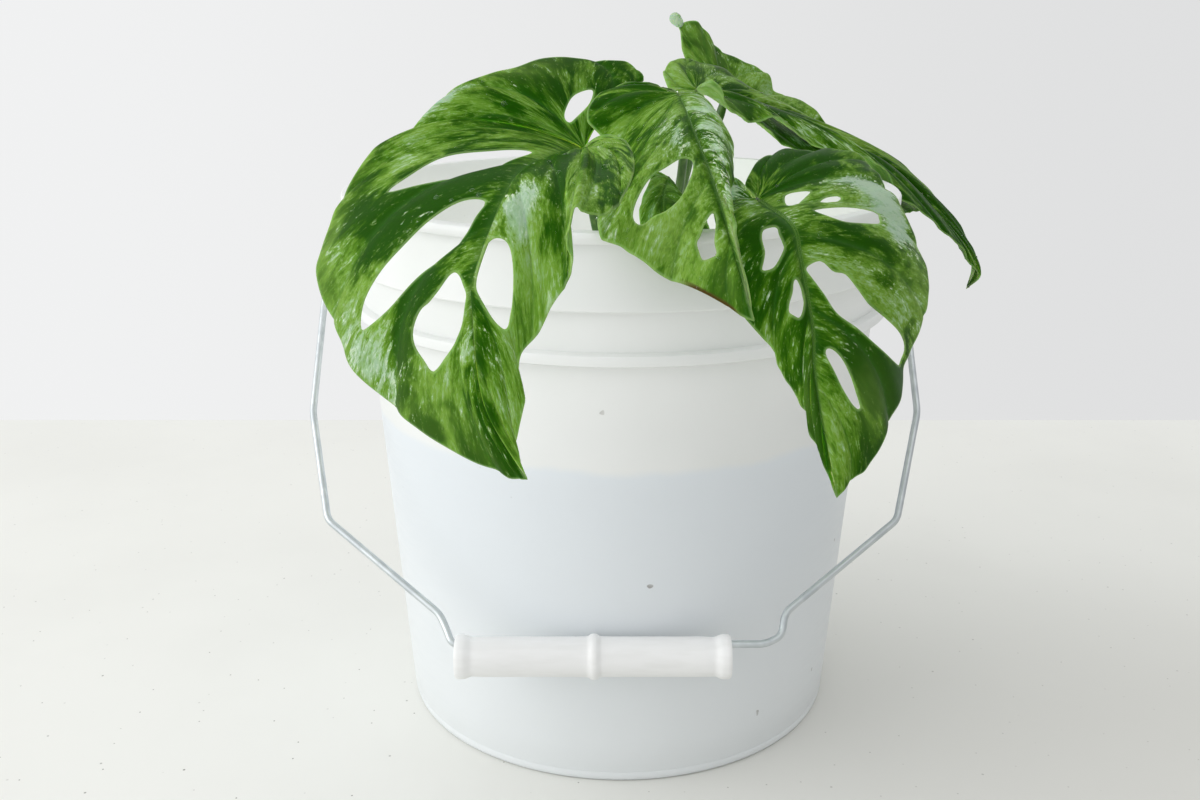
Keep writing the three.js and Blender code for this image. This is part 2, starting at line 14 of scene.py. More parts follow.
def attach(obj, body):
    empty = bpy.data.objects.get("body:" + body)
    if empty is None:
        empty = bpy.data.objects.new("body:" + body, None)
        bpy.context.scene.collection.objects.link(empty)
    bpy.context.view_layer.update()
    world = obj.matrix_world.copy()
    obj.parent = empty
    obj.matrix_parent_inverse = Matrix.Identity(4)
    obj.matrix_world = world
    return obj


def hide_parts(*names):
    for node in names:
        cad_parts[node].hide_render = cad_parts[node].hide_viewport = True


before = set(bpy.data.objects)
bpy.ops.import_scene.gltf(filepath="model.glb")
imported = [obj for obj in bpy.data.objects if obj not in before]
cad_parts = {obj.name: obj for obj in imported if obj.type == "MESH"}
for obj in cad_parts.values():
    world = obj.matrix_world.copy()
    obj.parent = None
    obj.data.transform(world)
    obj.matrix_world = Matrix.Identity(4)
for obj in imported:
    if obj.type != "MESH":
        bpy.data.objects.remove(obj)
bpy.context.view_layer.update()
MM = 0.001
FULL_TURN = 2 * math.pi
TINY = 1e-9

# Camera, at the photograph's viewing angle, in metres and degrees
CAMERA_PLACE = (-0.0075, -0.4667, 0.265)
CAMERA_TILT = 72.3
CAMERA_LENS = 37.5

# Stage, in metres. A light has a place, an aim, a size, a power and a colour.
TABLE_EDGE = 0.32
STAGE_REACH = 3.0
FLECKS = ((38.0, 0.022), (75.0, 0.03))
ROOM_SIDES = (1.2, 0.46)
WALL_SIDES = (0.885, 0.75)
CEILING = 0.95
WINDOW = ((-1.62, -0.62, 0.8), (0, 0, 0.12), 1.6, 9.7, (1.0, 1.0, 1.0))
GLOW = ((0, 0, 0.135), (0, 0, 0.3), 0.14, 0.1, (1.0, 1.0, 0.97))
SHADING_LEAVES = ("front", "upper", "back")

# Pail: outer and inner wall as radius and height
FLOOR_THICKNESS = 1.8
PAIL_OUTER = [
    (81.6, 0), (82.8, 0.15), (83.5, 0.7), (83.8, 1.8), (83.9, 3.4), (83.78, 3.8), (84.0, 4.3), (94.7, 157.5),
    (99.2, 157.9), (99.6, 158.3), (99.6, 161), (99.2, 161.5), (96.6, 162), (96.8, 174.8), (99.9, 175.3),
    (100.2, 175.8), (99.3, 181), (98.6, 187), (98.5, 196), (101.6, 196.4), (102, 196.9), (102, 199.2),
    (101.5, 199.8), (98.4, 200.1),
]
PAIL_INNER = [(97.3, 199.9), (97, 199.2), (95.5, 175), (93, 157), (82.6, 6), (81.5, 3), (79, FLOOR_THICKNESS)]
PAIL_CENTRE = 0.01
PAIL_STEP = 12
PAIL_SIDES = 192
PAIL_CREASE = 40
PIVOT_HEIGHT = 165

# Ears, as a rounded block with a hole: distances out from the pail's axis, with growth or radius
EAR_WIDTH = 14
EAR_HEIGHT = 11
EAR_CORNER = 3.0
EAR_PROFILE = [(95.9, 0.4), (102.8, 0), (103.65, -0.35), (104, -1.2)]
EAR_HOLE = [(104, 1.6), (103.7, 1.45), (97.6, 1.45)]

# Bail: one bent wire, as distances across and down along its drop
WIRE_RADIUS = 1.25
WIRE_SIDES = 20
BEND_RADIUS = 2.6
BEND_STEPS = 8
BAIL_DROP = (0, -0.671, -0.741)
GRIP_DROP = 140.7
WIRE_LEFT = [(-98, 0), (-110, 0), (-111.2, 4), (-111.2, 56), (-102.2, 97), (-61.5, 130.5), (-58.8, 136)]
WIRE_RIGHT = [(98, 0), (106.4, 0), (107.2, 4), (107.2, 56), (95.8, 97), (54.9, 130), (53.2, 138)]
GRIP_RUN = [(-56.9, GRIP_DROP), (47.5, GRIP_DROP)]

# Grip. What shapes its outline is a height, then a place or width along it.
GRIP_START = -55.6
GRIP_END = 36
GRIP_BORE = 5.85
GRIP_BODY = 6.65
GRIP_FLARE = 7.4
GRIP_RING = 7.6
GRIP_RING_AT = -9.5
FLARE_RUN = (2.6, 5.4)
NECK = (-0.14, 6.2, 1.6)
RING_WIDTH = 1.5
SHOULDER = (0.2, 3.0)
LIP = (-0.5, 0.8)
CHAMFER = (0.25, 0.4)
GRIP_AXIS = (0, -95.7, 56.8)
GRIP_STEPS = 120
GRIP_BORE_STEPS = 12
GRIP_SIDES = 72
GRIP_CREASE = 50

# Potting mix: its level in metres, and the chips on it as count, size, and thickness as shares of the length
MIX_LEVEL = 0.118
CHIPS = {"bark_chips": (420, 5.2, (0.14, 0.3)), "pumice": (70, 2.6, (0.6, 0.9))}
CHIP_REACH = 85.0
CHIP_CORNERS = 7
CHIP_TILT = 0.5
CHIP_LENGTHS = (0.6, 1.4)
CHIP_WIDTHS = (0.4, 0.8)
CHIP_FACE = 0.78
CHIP_CORNER = (0.8, 1.1)
CHIP_ROUGH = 0.12
VINE_CLEARANCE = 7.5
# The mound: its edge's height, rise and radius, and how far chips stand clear of it
MOUND = (118, 7, 90, 0.4)

# Stems, as points along their middle. Swellings are a height, a share of the length and a half width.
VINE_RADIUS = 4.1
VINE = [(1.4, 0, 96.4), (1.4, 0, 112), (1.4, 0, 127), (3, -4, 143), (6, -3, 157), (7, -1, 168)]
VINE_NODES = [0.47, 0.6, 0.73, 0.86]
NODE_SWELLING = 0.7
NODE_WIDTH = 0.022
VINE_TOP = (1.6, 0.93, 0.07)
VINE_STEPS = 120
VINE_SIDES = 28
STALK_RADIUS = 1.7
STALK_TIP = 1.35
STALK_SHEATH = (0.575, 9)
STALK_JOINT = (0.5, 0.93, 0.035)
STALK_END = (0.75, 0.97)
STALK_STEPS = 70
STALK_SIDES = 18

# Leaf blades
BLADE_THICKNESS = 0.7
RIM_SHARE = 0.55
RIM_WIDTH = 1.2
RIM_BULGE = 0.12
RIB_EASE = 1.5
LIFT_EASE = 0.6
LIFT_FROM = 13
SNAP = 0.25
HOLE_SCALE = (150.0, 40.0)
HOLE_STEPS = 6
FAR = 99.0
MARGIN_STEPS = 200
QUILT_RISE = 0.45
VEIN_SLANT = 0.06
VEIN_HOOK = 0.05
VEIN_WIDTH = 0.9
RIB_WIDTH = 1.7
PALE_RIM = 5
RIM_FACING = 0.8
BEHIND_STALK = 60
SIDES_APART = 400
VEIN_FURROWS = ((0.85, 3.5), (0.35, 0.7))
RIB_FURROWS = ((0.55, 1.1), (0.4, 4.0))
MARGIN_WAVES = (9, 15, 26)
WAVE_HEIGHT = 0.4
KEEL = (0.7, 1.1)
BROWN_EDGE = {"leaf": "front", "side": 0, "from": 0.77, "to": 0.95, "deep": 0.85}

# The pale lobe at the back blade's corner
CURL_CORNER = Vector((25.2, 57.5, 255.5))
CURL_MIDDLE = Vector((22.7, 57.0, 258.3))
CURL_RADIUS = 2.4
CURL_POINT = 0.7
CURL_DOME = 1.6
CURL_LIFT = 1.2
CURL_RINGS = 6
CURL_SIDES = 28

# Water drops: sizes of the placed and of the fine ones, how level the blade must be, and heights as shares of the
# radius
BEAD_SIZES = (0.85, 1.3)
FINE_SIZES = (0.3, 0.4, 0.5, 0.65)
FINE_DROPS = 45
LEAST_LEVEL = 0.2
DROP_HEIGHT = 0.7
DROP_SINK = 0.1
DROP_CROWN = 0.6
DROP_FOOT = 0.15
DROP_RINGS = 5
DROP_SIDES = 14

# Leaf colour. Noises from broad to fine: stretch along the side veins, scale, detail, roughness, distortion.
LEAF_NOISES = ((0.55, 26, 1.0), (0.65, 75, 2.5, 0.5, 1.2), (0.3, 300, 4.0, 0.66, 1.1), (0.55, 900, 3.0, 0.7, 0.5))
NOISE_SPREAD = 0.085
# Layers: the ramp's two ends, 1 or -1 for the way the marbling counts, the noises' shares, how far the pale patches
# lift it, its strength and its colour. The green ones lie under the veins, and the pale ones over them.
GREEN_LAYERS = (
    (-0.7, 2.1, 1, (0.6, 0.6, 0.3, 0), 1.2, 0.85, (0.19, 0.33, 0.05)),
    (0.2, 1.8, 1, (0.25, 0.3, 0.5, 0.8), 1.0, 0.42, (0.29, 0.42, 0.14)),
    (0.2, 1.6, -1, (0, -0.3, -0.4, -0.8), 0, 0.42, (0.014, 0.058, 0.002)),
)
PALE_LAYERS = (
    (1.0, 2.9, 1, (0.35, 0.5, 0.6, 0.4), 3.0, 0.66, (0.25, 0.38, 0.19)),
    (1.5, 2.6, 1, (0, 0.35, 0.8, 0.3), 3.0, 0.75, (0.37, 0.5, 0.3)),
    (2.2, 3.1, 1, (0, 0, 0.6, 0.6), 3.0, 0.85, (0.62, 0.7, 0.56)),
)

# The leaves: a rib, the left and the right margin without the rib's ends, which both share, the share of each margin
# that lies on a lobe behind the stalk, the lift of each side, and the stalk's start as a share of the vine and its
# route. Left and right are as seen with the tip pointing at the viewer.
LEAVES = {
    "left": {
        "rib": [
            (-13, -25, 216), (-26, -60, 217), (-34, -85, 214), (-40, -105, 202), (-44, -118, 190), (-44, -122, 181),
            (-41, -125, 154), (-29, -121, 130),
        ],
        "margins": [[
            (-12, -5, 222), (-4, 10, 230), (8, 17, 237), (3, 17, 243), (-8, 9, 244), (-19, 0, 245), (-29, -10, 245),
            (-40, -20, 242), (-50, -26, 239), (-58, -31, 236), (-66, -37, 229), (-73, -41, 221), (-80, -42, 220),
            (-85, -46, 215), (-92, -51, 204), (-96, -57, 195), (-99, -62, 186), (-99, -67, 178), (-95, -74, 170),
            (-90, -81, 162), (-85, -87, 154), (-75, -96, 148), (-67, -103, 143), (-56, -110, 138), (-43, -116, 133),
            (-34, -120, 130),
        ], [
            (-10, -34, 220), (-4, -48, 223), (1, -60, 222), (3, -74, 218), (2, -90, 214), (-2, -105, 209),
            (-6, -112, 207), (-11, -115, 208), (-14, -116, 210), (-16, -118, 205), (-17, -119, 200), (-15, -120, 195),
            (-17, -120, 189), (-22, -121, 181), (-25, -122, 175), (-30, -122, 169), (-31, -122, 162),
            (-30, -122, 153), (-32, -121, 142), (-31, -121, 135),
        ]],
        "lobes": (0.46, 0.4), "lifts": ((-3, -3, 9), (2, -3, 7)),
        "root": 0.66, "route": [(-4, -11, 166), (-9, -20, 188), (-12, -24.5, 205)],
    },
    "right": {
        "rib": [
            (41, -82, 207), (49, -98, 202), (51, -104, 194), (53, -108, 184), (55, -111, 173), (56, -112, 161),
            (60, -110, 142), (66, -106, 118),
        ],
        "margins": [[
            (38, -75, 209), (34, -66, 211), (29, -72, 207), (28, -84, 203), (27, -94, 204), (27, -105, 198),
            (29, -109, 186), (34, -109, 178), (39, -109, 172), (44, -108, 166), (47, -108, 159), (52, -108, 152),
            (55, -108, 145), (58, -107, 137), (62, -106, 128),
        ], [
            (38, -74, 209), (43, -62, 215), (50, -52, 218), (60, -44, 217), (71, -37, 217), (82, -33, 214),
            (87, -36, 209), (90, -40, 204), (93, -51, 199), (97, -58, 188), (99, -66, 180), (98, -72, 171),
            (94, -77, 161), (89, -83, 154), (87, -90, 145), (82, -97, 137), (76, -101, 127), (71, -104, 123),
        ]],
        "lobes": (0.28, 0.36), "lifts": ((-2, -3, 2), (3, -4, 4)),
        "root": 0.5, "route": [(14, -18, 150), (34, -50, 167), (43, -71, 184), (42.6, -78, 196)],
    },
    "front": {
        "rib": [
            (20, -15, 234), (23, -46, 225), (26, -76, 215), (28, -100, 207), (30, -115, 199), (33, -122, 189),
            (36, -124, 179),
        ],
        "margins": [[
            (14, -11, 236), (7, -6, 237), (-1, -6, 236), (-8, -11, 233), (-12, -23, 226), (-6, -28, 219),
            (-3, -42, 211), (-4, -64, 205), (-6, -87, 203), (-8, -100, 204), (-7, -109, 200), (-1, -110, 197),
            (4, -112, 194), (10, -114, 190), (16, -116, 188), (22, -119, 186), (28, -121, 183), (33, -123, 180),
        ], [
            (24, -10, 234), (29, -12, 233), (32, -24, 228), (34, -36, 224), (35, -56, 220), (33, -80, 214),
            (30, -97, 209), (30, -110, 204), (32, -119, 196), (34, -123, 186),
        ]],
        "lobes": (0.36, 0.3), "lifts": ((0, 0, 3), (2, -1, 4)),
        "root": 0.8, "route": [(15, -2, 172), (21.5, 0, 196), (23, -5, 217)],
    },
    "upper": {
        "rib": [
            (28, 4, 234), (40, 18, 232), (55, 30, 226), (72, 36, 219), (87, 41, 213), (106, 42, 204), (123, 41, 188),
            (144, 37.5, 166), (141.7, 32, 153.4),
        ],
        "margins": [[
            (31, 0, 237), (33, -4, 238), (36, -10, 234), (38, -12, 229), (43, -8, 225), (50, -2, 223), (57, 4, 224),
            (65, 8, 219), (72, 11, 213), (86, 14, 210), (96, 15, 207), (102, 16, 203), (109, 18, 192), (119, 20, 186),
            (131, 25, 175.5), (140.5, 31, 167), (146.6, 35.5, 157.8),
        ], [
            (22, 0, 232), (18, 4, 234), (16, 12, 240), (20, 22, 243), (28, 32, 243), (38, 42, 240), (49, 48, 234),
            (60, 52, 227), (77, 56, 219), (93, 60, 210), (106, 60, 205), (119, 58, 199), (131, 55, 188),
            (139.5, 50, 178), (147.3, 44, 166), (148, 36.5, 157.8),
        ]],
        "lobes": (0.3, 0.3), "lifts": ((0, 0, 3), (0, 0, 3)),
        "root": 0.72, "route": [(13, 8, 170), (24, 12, 198), (28, 9, 220)],
    },
    "back": {
        "rib": [
            (44, 56, 229), (63, 64, 220), (84, 70, 207), (103, 72, 196), (119, 70, 186), (133, 62, 181),
        ],
        "margins": [[
            (47, 46, 225), (52, 38, 221), (58, 31, 217), (67, 27, 210), (79, 34, 206), (92, 44, 204), (106, 46, 195),
            (114, 42, 184), (123, 50, 182),
        ], [
            (39, 52, 234), (33, 50, 238), (27, 52, 243), (25, 54, 250), (25, 57, 256), (32, 62, 257), (37, 68, 251),
            (42, 74, 246), (53, 80, 240), (64, 85, 236), (67, 88, 228), (79, 92, 224), (88, 92, 217), (101, 92, 205),
            (113, 86, 197), (124, 78, 189), (131, 70, 184),
        ]],
        "lobes": (0.3, 0.45), "lifts": ((0, 0, 0), (0, 2, 2)),
        "root": 0.56, "route": [(10, 14, 158), (24, 34, 184), (38, 50, 212)],
    },
    "inner": {
        "rib": [
            (17, -16, 205), (14, -34, 200), (15, -50, 190), (22, -62, 177),
        ],
        "margins": [[
            (12, -18, 207), (9, -30, 203), (6, -42, 197), (8, -56, 188), (15, -62, 180),
        ], [
            (19, -18, 203), (21, -30, 199), (27, -42, 195), (30, -52, 189), (27, -60, 182),
        ]],
        "lobes": (0.25, 0.25), "lifts": ((0, 0, 2), (0, 0, 2)),
        "root": 0.76, "route": [(9, -12, 172), (14, -15, 190)],
    },
}

# The holes of each blade, left side and then right side, as places along the margin and out from the rib, in
# thousandths.
HOLES = {
    "left": ((
        ((581, 90), (590, 240), (589, 430), (611, 550), (624, 630), (645, 500), (657, 340), (657, 140), (610, 70)),
        ((729, 70), (720, 190), (726, 340), (735, 490), (739, 670), (746, 800), (764, 850), (775, 790), (786, 620),
         (785, 420), (781, 210), (767, 120), (748, 90)),
        ((812, 160), (821, 270), (824, 370), (821, 470), (831, 590), (861, 630), (877, 640), (888, 480), (893, 320),
         (889, 150), (875, 60), (855, 40), (825, 90)),
        ((178, 530), (210, 470), (250, 340), (280, 250), (281, 200), (256, 200), (208, 270), (178, 380)),
    ), (
        ((755, 90), (738, 260), (736, 400), (749, 570), (765, 670), (781, 690), (807, 670), (834, 550), (850, 380),
         (848, 240), (830, 100), (800, 60), (772, 60)),
    )),
    "right": ((
        ((435, 280), (445, 180), (458, 140), (480, 170), (510, 180), (527, 190), (537, 300), (534, 410), (506, 530),
         (494, 470), (480, 400), (451, 350)),
        ((635, 140), (654, 100), (680, 70), (700, 70), (712, 160), (709, 260), (689, 340), (662, 420), (651, 370),
         (645, 270), (629, 200)),
    ), (
        ((408, 140), (406, 190), (421, 280), (443, 210), (463, 100), (448, 90), (425, 110)),
        ((462, 280), (454, 340), (456, 420), (466, 420), (472, 340), (472, 290)),
        ((496, 180), (491, 300), (491, 480), (496, 650), (506, 630), (522, 580), (531, 400), (530, 300), (512, 210)),
        ((667, 30), (647, 110), (665, 180), (664, 260), (684, 350), (703, 460), (706, 630), (705, 820), (714, 920),
         (735, 940), (752, 900), (761, 760), (765, 550), (760, 370), (751, 200), (720, 110), (685, 40)),
        ((828, 100), (821, 140), (826, 230), (843, 350), (857, 450), (869, 560), (875, 450), (869, 300), (855, 190),
         (840, 110)),
    )),
    "front": ((
        ((605, 240), (620, 160), (635, 140), (654, 200), (670, 310), (679, 450), (672, 600), (654, 710), (645, 790),
         (630, 830), (610, 800), (594, 680), (586, 530), (597, 370)),
        ((760, 180), (768, 140), (779, 150), (797, 240), (815, 360), (834, 440), (825, 580), (811, 670), (794, 630),
         (777, 570), (775, 480), (765, 330)),
    ), ()),
}

# How each blade is ruled, marbled and veined. Veins are places along each margin. Patches (mint and white) and lights
# (yellower areas, partly painted glow where light shines through the blade) are side, place along the margin, place
# out from the rib, two half sizes and strength. Beads are side and place. All but sides are in thousandths.
LOOKS = {
    "left": {
        "lines": (190, 46), "tone": 0.55, "marble": 0.5, "wave": 0.7, "seed": 3,
        "veins": ((60, 120, 320, 420, 510, 670, 795, 910, 950), (100, 220, 340, 460, 580, 690, 880, 940)),
        "patches": (
            (1, 695, 200, 50, 160, 800), (1, 650, 330, 50, 120, 550), (1, 700, 420, 30, 100, 300),
            (0, 770, 920, 50, 120, 500), (0, 820, 880, 40, 150, 350), (0, 620, 860, 35, 100, 350),
            (0, 680, 800, 30, 100, 300), (0, 715, 400, 12, 140, 450), (0, 390, 1000, 30, 130, 950),
            (0, 360, 900, 25, 100, 400), (0, 320, 660, 30, 120, 400), (0, 930, 200, 50, 300, 250),
            (1, 900, 600, 60, 500, 220), (0, 500, 300, 100, 400, -250), (0, 330, 300, 80, 300, -250),
            (1, 200, 600, 100, 400, 100), (0, 440, 550, 30, 120, 300), (0, 660, 500, 20, 100, 200),
            (0, 540, 700, 30, 90, 350), (0, 430, 340, 25, 60, 400), (0, 710, 700, 30, 150, -350),
            (0, 390, 700, 40, 140, -350), (0, 300, 450, 70, 150, -300), (0, 660, 280, 40, 100, -300),
        ),
        "lights": (
            (0, 660, 1000, 160, 120, 900), (0, 300, 850, 70, 200, 500), (0, 890, 800, 60, 300, 400),
            (1, 710, 620, 20, 100, 900), (1, 800, 800, 80, 200, 400),
        ),
        "beads": (
            (0, 390, 510), (0, 580, 590), (0, 700, 330), (1, 510, 270), (1, 570, 190), (1, 560, 390), (0, 720, 100),
            (0, 710, 150), (1, 240, 850), (1, 260, 330), (1, 300, 600), (0, 715, 240), (0, 300, 900), (0, 270, 850),
        ),
    },
    "right": {
        "lines": (170, 46), "tone": 0.5, "marble": 0.46, "wave": 0.7, "seed": 11,
        "veins": ((100, 200, 300, 390, 585, 770, 860, 940), (80, 170, 270, 360, 475, 600, 790, 920)),
        "patches": (
            (1, 400, 600, 35, 250, 900), (1, 440, 800, 50, 200, 900), (1, 500, 780, 50, 180, 800),
            (1, 550, 750, 35, 160, 600), (1, 520, 50, 40, 100, 500), (1, 600, 150, 30, 150, 400),
            (1, 635, 350, 15, 300, 450), (1, 660, 800, 40, 200, 350), (0, 555, 650, 20, 200, 550),
            (0, 780, 550, 60, 250, 400), (0, 170, 670, 100, 400, 900), (0, 300, 200, 100, 150, 600),
            (1, 180, 600, 130, 500, -900), (1, 820, 500, 70, 400, 100), (1, 575, 300, 45, 260, -800),
        ),
        "lights": ((1, 840, 650, 50, 300, 500), (0, 850, 600, 60, 400, 300), (1, 630, 850, 50, 200, 600)),
        "beads": (
            (1, 410, 640), (1, 420, 850), (1, 480, 640), (1, 510, 750), (1, 440, 820), (1, 630, 60), (1, 620, 100),
            (1, 460, 900), (1, 540, 800), (1, 380, 700), (0, 350, 300), (1, 570, 120),
        ),
    },
    "front": {
        "lines": (170, 40), "tone": 0.55, "marble": 0.4, "wave": 0.5, "seed": 23,
        "veins": ((100, 200, 300, 420, 530, 720, 870, 940), (150, 300, 450, 600, 750, 880)),
        "patches": (
            (1, 400, 300, 140, 500, 500), (1, 380, 950, 100, 200, 400), (1, 600, 400, 120, 500, 650),
            (1, 700, 600, 60, 400, 400), (1, 200, 500, 100, 500, 500), (0, 230, 700, 100, 350, -500),
            (0, 380, 550, 60, 150, -300), (0, 560, 180, 60, 120, 750), (0, 470, 320, 50, 150, 550),
            (0, 570, 920, 40, 120, 350), (0, 755, 750, 8, 250, 450),
        ),
        "lights": ((0, 700, 750, 80, 300, 500), (0, 870, 600, 60, 400, 400)),
        "beads": ((0, 290, 670), (0, 300, 490), (0, 340, 680), (0, 260, 800), (0, 400, 600), (0, 620, 900)),
    },
    "upper": {
        "lines": (130, 34), "tone": 0.6, "marble": 0.44, "wave": 1.0, "seed": 37,
        "veins": ((120, 240, 360, 480, 580, 680, 780, 870, 940),) * 2,
        "patches": ((1, 365, 600, 50, 200, 500), (0, 550, 750, 50, 200, 400), (0, 300, 250, 60, 200, 200)),
        "lights": ((0, 200, 600, 120, 500, 500), (1, 150, 600, 120, 500, 500), (1, 550, 800, 200, 300, 400)),
        "beads": ((1, 500, 500), (0, 500, 400)),
    },
    "back": {
        "lines": (120, 34), "tone": 0.6, "marble": 0.46, "wave": 0.9, "seed": 41,
        "veins": ((140, 280, 420, 560, 700, 830), (100, 200, 300, 400, 500, 600, 710, 810, 900)),
        "patches": ((0, 500, 740, 60, 200, 550), (1, 500, 800, 70, 250, 300)),
        "lights": ((0, 300, 600, 200, 500, 700), (1, 300, 600, 150, 500, 600)),
        "beads": (),
    },
    "inner": {
        "lines": (56, 20), "tone": 0.35, "marble": 0.45, "wave": 0.2, "seed": 53,
        "veins": ((200, 400, 600, 800),) * 2,
        "patches": ((0, 600, 500, 120, 400, 300), (1, 600, 500, 100, 300, 300)),
        "lights": ((0, 500, 500, 300, 500, 500), (1, 500, 500, 300, 500, 500)),
        "beads": (),
    },
}


# Meshes

def placed(name, data, place=(0, 0, 0), turn=(0, 0, 0)):
    """A new object in the scene."""
    made = bpy.data.objects.new(name, data)
    made.location, made.rotation_euler = place, turn
    bpy.context.scene.collection.objects.link(made)
    return made


def mesh_object(name, material, points, faces, smooth=True):
    """A mesh object from points in metres and lists of corners."""
    mesh = bpy.data.meshes.new(name)
    mesh.from_pydata([tuple(p) for p in points], [], [tuple(f) for f in faces])
    mesh.validate()
    mesh.shade_smooth() if smooth else mesh.shade_flat()
    mesh.materials.append(material)
    return placed(name, mesh)


def attribute(made, name, *columns):
    """A vector for each vertex."""
    layer = made.data.attributes.new(name, "FLOAT_VECTOR", "POINT")
    layer.data.foreach_set("vector", np.stack(columns, -1).astype(np.float32).ravel())


def turns(count):
    """Equal steps round a circle, as angles."""
    return [FULL_TURN * k / count for k in range(count)]


def pairs(around):
    """Each place on a ring with the next one."""
    return [(k, (k + 1) % around) for k in range(around)]


def flipped(faces):
    return [face[::-1] for face in faces]


def bands(rings, around, start=0):
    """Quads between rings of vertices that follow each other."""
    lows = range(start, start + (rings - 1) * around, around)
    return [(low + k, low + n, low + around + n, low + around + k) for low in lows for k, n in pairs(around)]


def fan(tip, ring, around):
    """Triangles from one vertex to a ring of them."""
    return [(tip, ring + k, ring + n) for k, n in pairs(around)]


def turned(profile, segments):
    """Points and faces of a profile of (radius, height) turned round Z, in metres and open at both ends."""
    angles = np.linspace(0, FULL_TURN, segments, endpoint=False)
    rings = np.array([[(r * math.cos(a), r * math.sin(a), z) for a in angles] for r, z in profile])
    return rings.reshape(-1, 3) * MM, bands(len(profile), segments)


def tube(name, material, line, radii, sides):
    """A round rod along points in metres, with a radius in metres at each, closed with rounded ends."""
    line = [Vector(p) for p in line]
    last = len(line) - 1
    ways = [(line[min(i + 1, last)] - line[max(i - 1, 0)]).normalized() for i in range(last + 1)]
    normal = ways[0].orthogonal().normalized()
    points = []
    for point, way, radius in zip(line, ways, radii):
        normal = (normal - way * normal.dot(way)).normalized()
        across = way.cross(normal)
        points += [point + (normal * math.cos(a) + across * math.sin(a)) * radius for a in turns(sides)]
    start, end = len(points), len(points) + 1
    points += [line[0] - ways[0] * radii[0] * 0.5, line[-1] + ways[-1] * radii[-1] * 0.5]
    faces = bands(last + 1, sides) + flipped(fan(start, 0, sides)) + fan(end, last * sides, sides)
    return mesh_object(name, material, points, faces)


def catmull_rom(a, b, c, d, u):
    """A smooth step from b to c, with a before and d after them."""
    return 0.5 * (2 * b + (c - a) * u + (2 * a - 5 * b + 4 * c - d) * u**2 + (3 * b - a - 3 * c + d) * u**3)


def spline(points, t):
    """Places on a smooth curve through the points, t from 0 to 1."""
    p = np.asarray(points, float)
    last = len(p) - 1
    place = np.clip(np.asarray(t, float), 0, 1) * last
    i = np.minimum(place.astype(int), last - 1)
    q = np.vstack([2 * p[0] - p[1], p, 2 * p[-1] - p[-2]])
    return catmull_rom(q[i], q[i + 1], q[i + 2], q[i + 3], (place - i)[..., None])


def run_along(points):
    """The distance from the first point to each, along the line."""
    return np.concatenate([[0], np.cumsum(np.linalg.norm(np.diff(points, axis=0), axis=1))])


def evenly(points, count):
    """Points at equal distances along a smooth curve through the given ones."""
    fine = spline(points, np.linspace(0, 1, 400))
    run = run_along(fine)
    at = np.linspace(0, run[-1], count)
    return np.stack([np.interp(at, run, fine[:, k]) for k in range(3)], -1)


def smoothstep(value, low, high):
    t = np.clip((value - low) / (high - low), 0, 1)
    return t * t * (3 - 2 * t)


def bell(value, width):
    """1 at zero, and falling off smoothly on both sides."""
    return np.exp(-((value / width) ** 2))


# Materials

class Nodes:
    """Builds one node tree, a material's unless another is given."""

    def __init__(self, name, tree=None):
        self.tree = tree
        if not tree:
            self.material = bpy.data.materials.new(name)
            self.material.use_nodes = True
            self.tree = self.material.node_tree
            self.surface = self.tree.nodes["Principled BSDF"]

    def put(self, socket, value):
        if isinstance(value, bpy.types.NodeSocket):
            self.tree.links.new(value, socket)
        else:
            socket.default_value = value

    def add(self, kind, inputs, output=0, **settings):
        node = self.tree.nodes.new(kind)
        for key, value in settings.items():
            setattr(node, key, value)
        for key, value in inputs.items():
            self.put(node.inputs[key], value)
        return node.outputs[output]

    def set(self, **values):
        for key, value in values.items():
            self.put(self.surface.inputs[key.replace("_", " ")], value)

    def soften(self, weight, scale, radius=(1.0, 1.0, 1.0)):
        self.set(Subsurface_Weight=weight, Subsurface_Radius=radius, Subsurface_Scale=scale)

    def mix(self, factor, a, b):
        a, b = [(*v, 1) if isinstance(v, tuple) and len(v) == 3 else v for v in (a, b)]
        return self.add("ShaderNodeMix", {0: factor, 6: a, 7: b}, 2, data_type="RGBA")

    def mix_levels(self, factor, a, b):
        return self.add("ShaderNodeMix", {0: factor, 2: a, 3: b}, 0, data_type="FLOAT")

    def math(self, operation, a, b):
        return self.add("ShaderNodeMath", {0: a, 1: b}, operation=operation)

    def times(self, a, b):
        return self.math("MULTIPLY", a, b)

    def plus(self, a, b):
        return self.math("ADD", a, b)

    def ramp(self, value, low, high, to_low=0.0, to_high=1.0):
        inputs = {"Value": value, "From Min": low, "From Max": high, "To Min": to_low, "To Max": to_high}
        return self.add("ShaderNodeMapRange", inputs, interpolation_type="SMOOTHSTEP")

    def noise(self, vector, scale, detail=3.0, roughness=0.55, distortion=0.0):
        inputs = {"Vector": vector, "Scale": scale, "Detail": detail, "Roughness": roughness, "Distortion": distortion}
        return self.add("ShaderNodeTexNoise", inputs)

    def stretched(self, vector, scale):
        return self.add("ShaderNodeVectorMath", {0: vector, 1: scale}, operation="MULTIPLY")

    def split(self, vector):
        return list(self.add("ShaderNodeSeparateXYZ", {0: vector}).node.outputs)

    def attribute(self, name):
        return self.add("ShaderNodeAttribute", {}, "Vector", attribute_name=name)

    def place(self):
        return self.add("ShaderNodeTexCoord", {}, "Object")

    def bump(self, height, strength, distance, normal=None):
        inputs = {"Height": height, "Strength": strength, "Distance": distance}
        if normal:
            inputs["Normal"] = normal
        return self.add("ShaderNodeBump", inputs)


